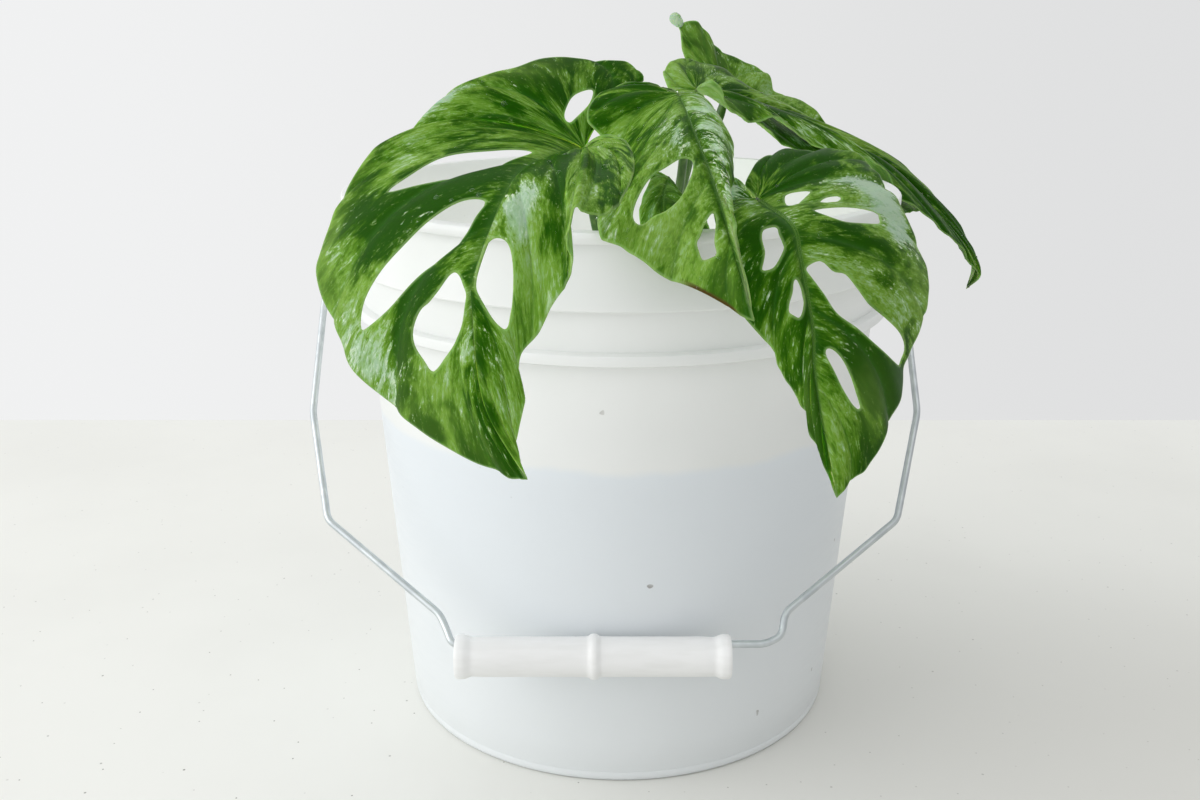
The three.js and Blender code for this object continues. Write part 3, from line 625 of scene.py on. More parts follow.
def leaf_material(name, tone, marble, seed):
    """Marbled green: green layers, yellower areas, veins, mint and white streaks, silvery areas, a pale rim and brown.

    The streaks run along the side veins, and the underside is paler, with paler veins. The yellower areas are partly
    painted glow where light shines through the blade, the silvery areas are partly painted sheen, and the underside's
    brighter green is partly painted glow of light shining through it.
    """
    n = Nodes(name)
    across, along, pale = n.split(n.attribute("leaf"))
    vein, rib, rim = n.split(n.attribute("marks"))
    top, brown, light = n.split(n.attribute("face"))
    flow = n.add("ShaderNodeCombineXYZ", {0: across, 1: along, 2: seed * 0.37})
    noises = [n.noise(n.stretched(flow, (1, stretch, 1)), *rest) for stretch, *rest in LEAF_NOISES]
    patchy, streak, fine = noises[1:]

    def layer(low, high, weight, shares, lift, most):
        """A ramp over a sum of the noises, in units of the sum's own spread."""
        spread = NOISE_SPREAD * math.sqrt(sum(s * s for s in shares))
        total = n.plus(n.times(pale, lift), weight - sum(shares) / 2 / spread)
        for share, part in zip(shares, noises):
            if share:
                total = n.plus(total, n.times(part, share / spread))
        return n.times(n.ramp(total, low, high), most)

    def painted(colour, layers):
        for low, high, way, shares, lift, most, tint in layers:
            colour = n.mix(layer(low, high, way * more, shares, lift, most), colour, tint)
        return colour

    def veined(at_vein, at_rib):
        return n.math("MAXIMUM", n.times(vein, at_vein), n.times(rib, at_rib))

    more = marble * 1.6 - 0.8
    ground = layer(-1.5, 1.1, 0.7 - 1.4 * tone, (0.6, 0.6, 0.3, 0), 2.0, 1.0)
    colour = painted(n.mix(ground, (0.014, 0.067, 0.001), (0.075, 0.19, 0.006)), GREEN_LAYERS)
    # Yellower areas, partly the leaf's own colour and partly painted glow where light shines through the blade
    colour = n.mix(n.times(light, n.ramp(patchy, 0.3, 0.66, 0.3, 0.8)), colour, (0.21, 0.34, 0.07))
    colour = painted(n.mix(veined(0.4, 0.6), colour, (0.04, 0.12, 0.02)), PALE_LAYERS)
    mottled = n.plus(n.times(patchy, 1.3), n.times(streak, 1.3))
    # Silvery areas: partly mint variegation, partly painted sheen
    silver_and_sheen = n.times(n.ramp(n.plus(pale, mottled), 1.75, 2.3), 0.75)
    colour = n.mix(silver_and_sheen, colour, (0.3, 0.42, 0.31))
    colour = n.mix(n.times(n.ramp(rim, 0.02, 0.2, 1.0, 0.0), 0.5), colour, (0.28, 0.4, 0.16))
    colour = n.mix(brown, colour, (0.075, 0.028, 0.012))
    # The underside: paler, with paler veins, and partly painted brighter green as if light shone through it
    under = n.mix(veined(0.5, 0.8), n.mix(0.5, colour, (0.17, 0.33, 0.08)), (0.3, 0.45, 0.17))
    normal = n.bump(n.noise(n.place(), 900, 2.0), 0.12, 0.0003, n.bump(fine, 0.1, 0.0003))
    n.set(Base_Color=n.mix(top, under, colour), Roughness=n.ramp(patchy, 0.3, 0.7, 0.33, 0.46), Normal=normal)
    n.set(Specular_IOR_Level=0.045, IOR=1.3)
    n.soften(0.35, 0.003, (0.5, 1.0, 0.1))
    return n.material


def grained(n, place, grain, low, high, ends, dark):
    """A colour that goes from low to high with a grain, and darker in blotches."""
    colour = n.mix(n.ramp(grain, *ends), low, high)
    blotch = n.times(n.ramp(n.noise(place, *dark[:2]), 0.5, 0.75), 0.5)
    return n.mix(blotch, colour, tuple(dark[2] * c for c in low))


def stem_material(name, colour, pale):
    """Smooth green stem, a little streaked along its length."""
    n = Nodes(name)
    place = n.place()
    streak = n.noise(n.stretched(place, (1, 1, 0.15)), 900, 3.0)
    shade = grained(n, place, streak, colour, pale, (0.4, 0.7), (90, 2.0, 0.55))
    n.set(Base_Color=shade, Roughness=0.38, Normal=n.bump(streak, 0.15, 0.0003))
    return n.material


def mix_material(name, low, high, rough=0.9):
    """Coarse, rough grain: soil, bark or pumice."""
    n = Nodes(name)
    place = n.place()
    grain = n.noise(n.stretched(place, (1, 1.6, 1)), 330, 4.0, 0.65)
    colour = grained(n, place, grain, low, high, (0.35, 0.68), (70, 2.0, 0.4))
    n.set(Base_Color=colour, Roughness=rough, Normal=n.bump(grain, 0.7, 0.0012))
    return n.material


def pail_material():
    """Natural polyethylene: bright above the mix, with greyer, bluer painted shade below its level, and a few specks.
    """
    n = Nodes("pail_plastic")
    place = n.place()
    height = n.split(place)[2]
    ragged = n.plus(height, n.times(n.noise(place, 60, 3.0), 0.004))
    # Painted shade: below the mix's level the wall is greyer and bluer, as if the mix kept light from shining through
    # the plastic, most just under the level and less towards the bottom
    filled = n.ramp(ragged, MIX_LEVEL + 0.0025, MIX_LEVEL + 0.0065, 1.0, 0.0)
    painted_fill_shade = n.times(filled, n.ramp(height, 0.0, MIX_LEVEL, 0.55, 1.0))
    clear = n.mix(n.ramp(n.noise(place, 14, 2.0), 0.3, 0.7), (0.78, 0.8, 0.785), (0.82, 0.835, 0.822))
    colour = n.mix(painted_fill_shade, clear, (0.742, 0.787, 0.822))
    speck = n.times(n.ramp(n.noise(place, 210, 1.0), 0.78, 0.8), n.ramp(n.noise(place, 23, 1.0), 0.57, 0.62))
    colour = n.mix(n.times(speck, 0.7), colour, (0.2, 0.18, 0.15))
    scuff = n.noise(n.stretched(place, (1, 1, 9)), 70, 3.0)
    n.set(Base_Color=colour, Roughness=n.ramp(scuff, 0.35, 0.7, 0.36, 0.5), Normal=n.bump(scuff, 0.06, 0.0004))
    n.soften(0.35, 0.003)
    return n.material


def grip_material():
    n = Nodes("grip_plastic")
    wear = n.noise(n.stretched(n.place(), (1, 6, 6)), 60, 3.0)
    colour = n.mix(n.ramp(wear, 0.35, 0.7), (0.87, 0.875, 0.87), (0.83, 0.835, 0.825))
    n.set(Base_Color=colour, Roughness=0.34, Normal=n.bump(wear, 0.04, 0.0003))
    n.soften(0.3, 0.002)
    return n.material


def wire_material():
    n = Nodes("galvanised_wire")
    place = n.place()
    dull = n.noise(place, 160, 2.0)
    colour = n.mix(n.ramp(dull, 0.4, 0.65), (0.65, 0.69, 0.705), (0.57, 0.61, 0.63))
    drawn = n.bump(n.noise(place, 700, 3.0), 0.08, 0.0002)
    n.set(Base_Color=colour, Metallic=1.0, Roughness=n.ramp(dull, 0.3, 0.7, 0.36, 0.52), Normal=drawn)
    return n.material


def water_material():
    n = Nodes("water")
    n.set(Base_Color=(0.97, 1.0, 0.98, 1), Roughness=0.03, IOR=1.33, Transmission_Weight=1.0)
    return n.material


# Leaf blades

def margin(leaf, side, s):
    """Places on one margin, which starts and ends with the rib."""
    return spline([leaf["rib"][0], *leaf["margins"][side], leaf["rib"][-1]], s)


def blade_points(leaf, side, s, v):
    """The middle of a blade: s runs along one margin, v from the rib out to it."""
    s, v = np.broadcast_arrays(np.asarray(s, float), np.asarray(v, float))
    lobe = leaf["lobes"][side]
    rib = spline(leaf["rib"], np.clip((s - lobe) / (1 - lobe), 0, 1) ** RIB_EASE)
    edge = margin(leaf, side, s)
    arch = np.clip(np.sin(math.pi * s**RIB_EASE), 0, 1)[..., None] ** LIFT_EASE
    arch = arch * (1 - bell(np.linalg.norm(edge - rib, axis=-1, keepdims=True), LIFT_FROM))
    w = v[..., None]
    return rib + (edge - rib) * w + np.asarray(leaf["lifts"][side], float) * arch * 4 * w * (1 - w)


def smooth_loop(points):
    """A closed curve through a hole's points, scaled to about millimetres on a blade."""
    p = np.array(points) / 1000 * HOLE_SCALE
    around = [np.roll(p, shift, 0) for shift in (1, 0, -1, -2)]
    return np.stack([catmull_rom(*around, u) for u in np.arange(HOLE_STEPS) / HOLE_STEPS], 1).reshape(-1, 2)


def hole_value(loops, s, v):
    """The distance to the nearest hole's rim, below zero inside a hole."""
    place = np.stack(np.broadcast_arrays(s, v), -1) * HOLE_SCALE
    value = np.full(place.shape[:-1], FAR)
    for loop in loops:
        start, end = loop, np.roll(loop, -1, 0)
        way = end - start
        off = place[..., None, :] - start
        t = np.clip((off * way).sum(-1) / (way**2).sum(-1), 0, 1)
        distance = np.linalg.norm(off - t[..., None] * way, axis=-1).min(-1)
        over = (start[:, 1] > place[..., None, 1]) != (end[:, 1] > place[..., None, 1])
        cross = way[:, 0] * off[..., 1] / np.where(way[:, 1] == 0, TINY, way[:, 1]) > off[..., 0]
        inside = (over & cross).sum(-1) % 2 == 1
        value = np.minimum(value, np.where(inside, -distance, distance))
    return value


def snap_to_rims(places, values):
    """Moves the grid's places that lie close to a hole's rim onto it, and marks them with zero."""
    steps = ((1, 0), (-1, 0), (0, 1), (0, -1), (1, 1), (-1, -1))
    near = np.zeros(values.shape, bool)
    for di, dj in steps:
        near |= values * np.roll(values, (-di, -dj), (0, 1)) < 0
    for i, j in np.argwhere(near[1:-1, 1:-1]) + 1:
        best, other = SNAP, None
        for di, dj in steps:
            if values[i, j] * values[i + di, j + dj] < 0:
                share = values[i, j] / (values[i, j] - values[i + di, j + dj])
                if share < best:
                    best, other = share, (i + di, j + dj)
        if other:
            places[i, j] += (places[other] - places[i, j]) * best
            values[i, j] = 0


def side_faces(leaf, side, loops, lines, out, rib_lines, where):
    """The triangles of one side, cut along the holes' rims. Its own vertices join where, after the rib's."""
    lobe = leaf["lobes"][side]
    first = round(lines * lobe)
    on_rib = lobe + np.linspace(0, 1, rib_lines + 1) * (1 - lobe)
    s_lines = np.concatenate([np.linspace(0, lobe, first, endpoint=False), on_rib])
    places = np.stack(np.meshgrid(s_lines, np.linspace(0, 1, out + 1), indexing="ij"), -1)
    values = hole_value(loops, places[..., 0], places[..., 1])
    snap_to_rims(places, values)
    last = len(s_lines) - 1
    known = {}

    def vertex(key, place):
        if key not in known:
            known[key] = len(where)
            where.append((side, *place))
        return known[key]

    def corner(i, j):
        if i == last:
            return rib_lines
        if i == 0 or j == 0:
            return max(i - first, 0)
        return vertex((i, j), places[i, j])

    faces = []
    for i in range(last):
        for j in range(out):
            for others in ((i + 1, j), (i + 1, j + 1)), ((i + 1, j + 1), (i, j + 1)):
                faces += cut_triangle(loops, ((i, j), *others), places, values, corner, vertex)
    return faces if side else flipped(faces)


def cut_triangle(loops, corners, places, values, corner, vertex):
    """The part of a triangle of the grid that lies on the blade, as triangles."""
    signs = [np.sign(values[c]) for c in corners]
    if max(signs) <= 0:
        middle = sum(places[c] for c in corners) / 3
        if min(signs) < 0 or hole_value(loops, middle[0], middle[1]) <= 0:
            return []
    kept = []
    for k, here in enumerate(corners):
        following = corners[(k + 1) % 3]
        if signs[k] >= 0:
            kept.append(corner(*here))
        if signs[k] * signs[(k + 1) % 3] < 0:
            start, end = sorted((here, following))
            share = values[start] / (values[start] - values[end])
            kept.append(vertex((start, end), places[start] + (places[end] - places[start]) * share))
    found = [(kept[0], kept[k], kept[k + 1]) for k in range(1, len(kept) - 1)]
    return [t for t in found if len(set(t)) == 3]


def blade_mesh(name, leaf, look):
    """Both sides of a blade as one sheet: side, s and v of each vertex, and triangles."""
    lines, out = look["lines"]
    rib_lines = lines - round(lines * 0.5 * sum(leaf["lobes"]))
    lobe = leaf["lobes"][0]
    where = [(0, lobe + (1 - lobe) * k / rib_lines, 0.0) for k in range(rib_lines)] + [(0, 1.0, 0.0)]
    faces = []
    for side, holes in enumerate(HOLES.get(name, ((), ()))):
        loops = [smooth_loop(points) for points in holes]
        faces += side_faces(leaf, side, loops, lines, out, rib_lines, where)
    return np.array(where), np.array(faces)


def by_side(where):
    """Each side, its vertices, and their places along the margin and out from the rib."""
    for side in (0, 1):
        mine = where[:, 0] == side
        yield side, mine, where[mine, 1], where[mine, 2]


def strength_in(patches, where):
    """How strongly each vertex lies in soft patches."""
    value = np.zeros(len(where))
    for side, *row in patches:
        at, out, wide, deep, strength = (number / 1000 for number in row)
        reach = ((where[:, 1] - at) / wide) ** 2 + ((where[:, 2] - out) / deep) ** 2
        value += strength * np.exp(-reach) * (where[:, 0] == side)
    return value


def blade_marks(leaf, look, where):
    """For each vertex: distances to the nearest side vein and to the rib, the breadth of its side there, its place
    along the margin and its distance out from the rib."""
    vein = np.full(len(where), FAR)
    rib, broad, across, along = np.zeros((4, len(where)))
    step = 0.002
    shares = np.linspace(0, 1, MARGIN_STEPS)
    for side, mine, s, v in by_side(where):
        apart = blade_points(leaf, side, s + step, v) - blade_points(leaf, side, s - step, v)
        metric = np.linalg.norm(apart, axis=1) / (2 * step)
        for at in look["veins"][side]:
            gap = np.abs(s - at / 1000 - VEIN_SLANT * (v - 0.5) - VEIN_HOOK * v**3 * (1 - s)) * metric
            vein[mine] = np.minimum(vein[mine], gap)
        spread = np.linalg.norm(blade_points(leaf, side, s, 1) - blade_points(leaf, side, s, 0), axis=1)
        rib[mine] = v * spread + BEHIND_STALK * np.clip(leaf["lobes"][side] - s, 0, 1)
        broad[mine] = spread
        across[mine] = np.interp(s, shares, run_along(margin(leaf, side, shares))) + SIDES_APART * side
        along[mine] = v * spread
    return vein, rib, broad, across, along


def furrowed(height, distance, furrows):
    """The height less each furrow, given as depth and half width."""
    for depth, width in furrows:
        height = height - depth * bell(distance, width)
    return height


def relief(look, where, vein, rib, broad):
    """How far each vertex stands up from the smooth blade, in millimetres."""
    draw = random.Random(look["seed"])
    wave = np.zeros(len(where))
    for _, mine, s, _ in by_side(where):
        for count in MARGIN_WAVES:
            wave[mine] += np.sin(FULL_TURN * count * s + draw.uniform(0, FULL_TURN)) / (count / MARGIN_WAVES[0])
    _, s, v = where.T
    quilt = furrowed(QUILT_RISE, vein, VEIN_FURROWS) * smoothstep(v, 0.0, 0.18)
    ends = smoothstep(s, 0.02, 0.12) * (1 - smoothstep(s, 0.9, 1.0))
    flat = (quilt + furrowed(0, rib, RIB_FURROWS)) * smoothstep(broad, 2.0, 14.0)
    return flat + look["wave"] * WAVE_HEIGHT * wave * smoothstep(v, 0.6, 1.0) * ends


def unit(vectors):
    return vectors / np.maximum(np.linalg.norm(vectors, axis=-1, keepdims=True), TINY)


def vertex_normals(points, faces):
    a, b, c = points[faces[:, 0]], points[faces[:, 1]], points[faces[:, 2]]
    cross = np.cross(b - a, c - a)
    normals = np.zeros_like(points)
    for k in range(3):
        np.add.at(normals, faces[:, k], cross)
    return unit(normals)


def open_edges(faces):
    """The directed edges that only one triangle has."""
    edges = np.concatenate([faces[:, [0, 1]], faces[:, [1, 2]], faces[:, [2, 0]]])
    known = {tuple(e) for e in edges.tolist()}
    return [e for e in known if (e[1], e[0]) not in known]


def outward(points, up, edges):
    """The way out of the sheet at each vertex of its rims."""
    out = np.zeros_like(points)
    for a, b in edges:
        way = unit(np.cross(points[b] - points[a], up[a]))
        out[a] += way
        out[b] += way
    return unit(out)


def distance_to(points, chosen):
    """The distance from each point to the nearest of the chosen ones."""
    tree = kdtree.KDTree(len(chosen))
    for k, index in enumerate(chosen):
        tree.insert(points[index], k)
    tree.balance()
    return np.array([tree.find(p)[2] for p in points])


def browned(name, where, rim):
    """How brown each vertex is: one leaf has a dry stretch of margin."""
    if name != BROWN_EDGE["leaf"]:
        return np.zeros(len(where))
    side, s, v = where.T
    start, end, deep = BROWN_EDGE["from"], BROWN_EDGE["to"], BROWN_EDGE["deep"]
    run = smoothstep(s, start, start + 0.05) * (1 - smoothstep(s, end - 0.04, end))
    return run * (side == BROWN_EDGE["side"]) * (1 - smoothstep(rim, deep * 0.6, deep * 1.4)) * (v > 0.9)


def blade(name, leaf, look):
    """One leaf blade: a quilted sheet with true holes, given a thickness and rounded rims."""
    where, faces = blade_mesh(name, leaf, look)
    points = np.zeros((len(where), 3))
    for side, mine, s, v in by_side(where):
        points[mine] = blade_points(leaf, side, s, v)
    vein, rib, broad, across, along = blade_marks(leaf, look, where)
    points = points + vertex_normals(points, faces) * relief(look, where, vein, rib, broad)[:, None]
    up = vertex_normals(points, faces)

    edges = open_edges(faces)
    on_rim = sorted({k for e in edges for k in e})
    rim = distance_to(points, on_rim)
    half = BLADE_THICKNESS / 2 * (RIM_SHARE + (1 - RIM_SHARE) * smoothstep(rim, 0.0, RIM_WIDTH))
    keel = KEEL[0] * bell(rib, KEEL[1]) * smoothstep(broad, 1.0, 8.0)
    top = points + up * half[:, None]
    under = points - up * (half + keel)[:, None]
    middles = points[on_rim] + outward(points, up, edges)[on_rim] * RIM_BULGE
    count = len(points)
    middle = {k: 2 * count + i for i, k in enumerate(on_rim)}
    triangles = faces.tolist() + (faces[:, ::-1] + count).tolist()
    for a, b in edges:
        ma, mb = middle[a], middle[b]
        triangles += [(a, ma, mb), (a, mb, b), (ma, a + count, b + count), (ma, b + count, mb)]
    material = leaf_material(f"leaf_{name}", look["tone"], look["marble"], look["seed"])
    made = mesh_object(f"leaf_{name}", material, np.concatenate([top, under, middles]) * MM, triangles)

    def spread(values):
        """Values of the sheet's vertices, for the top, the underside and the rims."""
        return np.concatenate([values, values, values[on_rim]])

    # The yellower areas: partly the leaf's own colour, partly painted glow where light shines through the blade
    pale, light = strength_in(look["patches"], where), strength_in(look["lights"], where)
    near_vein = bell(vein, VEIN_WIDTH) * smoothstep(where[:, 2], 0.0, 0.1)
    facing = np.concatenate([np.ones(count), np.zeros(count), np.full(len(on_rim), RIM_FACING)])
    attribute(made, "leaf", spread(across * MM), spread(along * MM), spread(pale))
    attribute(made, "marks", spread(near_vein), spread(bell(rib, RIB_WIDTH)), spread(np.clip(rim / PALE_RIM, 0, 1)))
    attribute(made, "face", facing, spread(browned(name, where, rim)), spread(light))
    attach(made, "root")
    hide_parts(f"blade_{name}")
    made.visible_shadow = made.visible_diffuse = name in SHADING_LEAVES
    return where, top * MM, up


def curled_tip():
    """The small pale lobe that curls off the back blade's upper corner: thin, domed, and pointed at the corner."""
    way = CURL_CORNER - CURL_MIDDLE
    towards = math.atan2(way.z, way.x)
    ring = CURL_RINGS * CURL_SIDES
    points, faces = [], []
    for layer in (0, 1):
        lift = layer * BLADE_THICKNESS * 0.9
        for i in range(1, CURL_RINGS + 1):
            share = i / CURL_RINGS
            for turn in turns(CURL_SIDES):
                reach = CURL_RADIUS * (1 + CURL_POINT * max(0.0, math.cos(turn - towards)) ** 4) * share
                dome = -CURL_DOME * (1 - share**2) + CURL_LIFT * share**3 * math.sin(turn)
                points.append(CURL_MIDDLE + Vector((math.cos(turn) * reach, dome + lift, math.sin(turn) * reach)))
        points.append(CURL_MIDDLE + Vector((0, lift - CURL_DOME, 0)))
        base = layer * (ring + 1)
        sheet = fan(base + ring, base, CURL_SIDES)
        sheet += [(a, d, c, b) for a, b, c, d in bands(CURL_RINGS, CURL_SIDES, base)]
        faces += flipped(sheet) if layer else sheet
    last = ring - CURL_SIDES
    faces += [(last + k, last + k + ring + 1, last + n + ring + 1, last + n) for k, n in pairs(CURL_SIDES)]
    made = mesh_object("leaf_back_curl", leaf_material("leaf_curl", 0.3, 0.7, 5), [p * MM for p in points], faces)
    flat = np.zeros(len(points))
    attribute(made, "leaf", [p.x * MM for p in points], [p.z * MM for p in points], flat + 0.9)
    attribute(made, "marks", flat, flat, flat + 1)
    attribute(made, "face", flat + 1, flat, flat + 0.5)
    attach(made, "root")


def droplets(name, where, top, up, look, water):
    """Beads of water on a blade's upper face: the ones that its look places, and fine ones anywhere."""
    draw = random.Random(look["seed"] + 100)
    chosen = []
    for side, *place in look["beads"]:
        off = (where[:, 1:] - np.array(place) / 1000) * HOLE_SCALE
        gap = (off**2).sum(1) + 1e6 * (where[:, 0] != side)
        chosen.append((int(np.argmin(gap)), draw.uniform(*BEAD_SIZES)))
    chosen += [(draw.randrange(len(top)), draw.choice(FINE_SIZES)) for _ in range(FINE_DROPS)]
    points, faces = [], []
    for k, size in chosen:
        normal = Vector(up[k])
        if normal.z < LEAST_LEVEL:
            continue
        middle, radius = Vector(top[k]), size * MM
        one = normal.orthogonal().normalized()
        two = normal.cross(one)
        stretch = draw.uniform(0.85, 1.2)
        start = len(points)
        for i in range(DROP_RINGS):
            tilt = (math.pi / 2) * i / DROP_RINGS
            high = math.sin(tilt) * DROP_HEIGHT - DROP_SINK
            for turn in turns(DROP_SIDES):
                flat = one * math.cos(turn) * stretch + two * math.sin(turn) / stretch
                points.append(middle + flat * math.cos(tilt) * radius + normal * high * radius)
        crown = len(points)
        points += [middle + normal * DROP_CROWN * radius, middle - normal * DROP_FOOT * radius]
        faces += bands(DROP_RINGS, DROP_SIDES, start) + fan(crown, crown - DROP_SIDES, DROP_SIDES)
        faces += flipped(fan(crown + 1, start, DROP_SIDES))
    made = mesh_object(name, water, points, faces)
    made.visible_shadow = False
    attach(made, "root")


# Stems

def vine(material):
    """The climbing stem, thicker at each node and drawn in at its top."""
    line = evenly(VINE, VINE_STEPS)
    thinner, top, run = VINE_TOP
    radii = []
    for i in range(VINE_STEPS):
        share = i / (VINE_STEPS - 1)
        swelling = sum(bell(share - at, NODE_WIDTH) for at in VINE_NODES)
        radii.append((VINE_RADIUS + NODE_SWELLING * swelling - thinner * max(share - top, 0) / run) * MM)
    made = tube("vine", material, line * MM, radii, VINE_SIDES)
    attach(made, "root")
    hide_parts("vine_stem")
    return line


def petiole(name, leaf, line, material):
    """A leaf's stalk: a widened sheath at the vine, a slim run, and a thicker joint under the blade."""
    start = line[round(leaf["root"] * (len(line) - 1))]
    path = evenly([start, *leaf["route"], leaf["rib"][0]], STALK_STEPS)
    (rise, place, width), (swelling, narrowing), (cut, end) = STALK_JOINT, STALK_SHEATH, STALK_END
    radii = []
    for i in range(STALK_STEPS):
        share = i / (STALK_STEPS - 1)
        joint = rise * bell(share - place, width)
        tip = cut * smoothstep(share, end, 1.0)
        slim = STALK_TIP + (STALK_RADIUS - STALK_TIP) * (1 - share**4)
        radii.append((slim + swelling * math.exp(-narrowing * share) + joint - tip) * MM)
    made = tube(f"stalk_{name}", material, path * MM, radii, STALK_SIDES)
    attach(made, "root")
    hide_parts(f"petiole_{name}")


# Pail, bail and grip

def ear(side, name, material):
    """The boss that holds one end of the bail: a rounded block with a hole for the wire."""
    wide, high = EAR_WIDTH / 2, EAR_HEIGHT / 2
    outline = []
    for k, (sign_y, sign_z) in enumerate(((1, -1), (1, 1), (-1, 1), (-1, -1))):
        for turn in (math.radians(-90 + 90 * k + 15 * i) for i in range(7)):
            y = sign_y * (wide - EAR_CORNER) + EAR_CORNER * math.cos(turn)
            z = sign_z * (high - EAR_CORNER) + EAR_CORNER * math.sin(turn)
            outline.append((y, z))
    rings = [[(x, y * (1 + grow / wide), z * (1 + grow / high)) for y, z in outline] for x, grow in EAR_PROFILE]
    bearings = [math.atan2(z, y) for y, z in outline]
    rings += [[(x, radius * math.cos(a), radius * math.sin(a)) for a in bearings] for x, radius in EAR_HOLE]
    points = [(side * x * MM, y * MM, (PIVOT_HEIGHT + z) * MM) for ring in rings for x, y, z in ring]
    around = len(outline)
    faces = bands(len(rings), around)
    faces += [tuple(range(around))[::-1], tuple(range(len(points) - around, len(points)))]
    made = mesh_object(name, material, points, faces if side > 0 else flipped(faces))
    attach(made, "root")


def pail(material):
    """The wall, turned from its profile with points close enough together to shade well, and both ears."""
    profile = [(PAIL_CENTRE, 0), *PAIL_OUTER, *PAIL_INNER, (PAIL_CENTRE, FLOOR_THICKNESS)]
    fine = [profile[0]]
    for (r0, z0), (r1, z1) in zip(profile, profile[1:]):
        steps = max(1, round(math.hypot(r1 - r0, z1 - z0) / PAIL_STEP))
        fine += [(r0 + (r1 - r0) * k / steps, z0 + (z1 - z0) * k / steps) for k in range(1, steps + 1)]
    points, faces = turned(fine, PAIL_SIDES)
    count = len(points)
    points = np.concatenate([points, [(0, 0, 0), (0, 0, FLOOR_THICKNESS * MM)]])
    faces += flipped(fan(count, 0, PAIL_SIDES)) + fan(count + 1, count - PAIL_SIDES, PAIL_SIDES)
    made = mesh_object("pail_body", material, points, faces)
    made.data.set_sharp_from_angle(angle=math.radians(PAIL_CREASE))
    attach(made, "root")
    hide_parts("pail")
    for side, word in ((-1, "left"), (1, "right")):
        ear(side, f"ear_{word}", material)


def rounded(points, radius, steps):
    """A line of points with each corner turned by a short curve."""
    made = [points[0]]
    for back, here, on in zip(points, points[1:], points[2:]):
        to_back, to_on = back - here, on - here
        cut = min(radius, 0.45 * to_back.length, 0.45 * to_on.length)
        start, end = here + to_back.normalized() * cut, here + to_on.normalized() * cut
        for t in (k / steps for k in range(steps + 1)):
            made.append(start * (1 - t) ** 2 + here * 2 * t * (1 - t) + end * t**2)
    made.append(points[-1])
    return made


def bail(material):
    flat = [*WIRE_LEFT, *GRIP_RUN, *reversed(WIRE_RIGHT)]
    corners = [Vector(BAIL_DROP) * drop + Vector((x, 0, PIVOT_HEIGHT)) for x, drop in flat]
    line = [p * MM for p in rounded(corners, BEND_RADIUS, BEND_STEPS)]
    made = tube("wire", material, line, [WIRE_RADIUS * MM] * len(line), WIRE_SIDES)
    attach(made, "bail")
    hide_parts("bail_wire")


def grip(material):
    """The tube on the wire: thin wall, flared ends with a soft step, and a ring in the middle."""
    length = GRIP_END - GRIP_START
    profile = []
    for k in range(GRIP_STEPS + 1):
        x = GRIP_START + length * k / GRIP_STEPS
        end, off = min(x - GRIP_START, GRIP_END - x), x - GRIP_RING_AT
        flare = (GRIP_FLARE - GRIP_BODY) * (1 - smoothstep(end, *FLARE_RUN))
        neck = NECK[0] * bell(end - NECK[1], NECK[2])
        ring = (GRIP_RING - GRIP_BODY) * math.exp(-((off / RING_WIDTH) ** 4))
        shoulder = SHOULDER[0] * bell(off, SHOULDER[1])
        lip = LIP[0] * (1 - smoothstep(end, 0.0, LIP[1]))
        profile.append((GRIP_BODY + flare + neck + ring + shoulder * (1 - ring) + lip, x))
    wider, deep = CHAMFER
    profile += [(GRIP_BORE + wider, GRIP_END), (GRIP_BORE, GRIP_END - deep)]
    profile += [(GRIP_BORE, GRIP_END - length * k / GRIP_BORE_STEPS) for k in range(1, GRIP_BORE_STEPS)]
    profile += [(GRIP_BORE, GRIP_START + deep), (GRIP_BORE + wider, GRIP_START)]
    points, faces = turned(profile, GRIP_SIDES)
    last = len(points) - GRIP_SIDES
    faces += [(last + k, last + n, n, k) for k, n in pairs(GRIP_SIDES)]
    laid = np.stack([points[:, 2], points[:, 1], -points[:, 0]], -1) + np.array(GRIP_AXIS) * MM
    made = mesh_object("grip_tube", material, laid, faces)
    made.data.set_sharp_from_angle(angle=math.radians(GRIP_CREASE))
    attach(made, "grip")
    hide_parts("grip")


# Potting mix

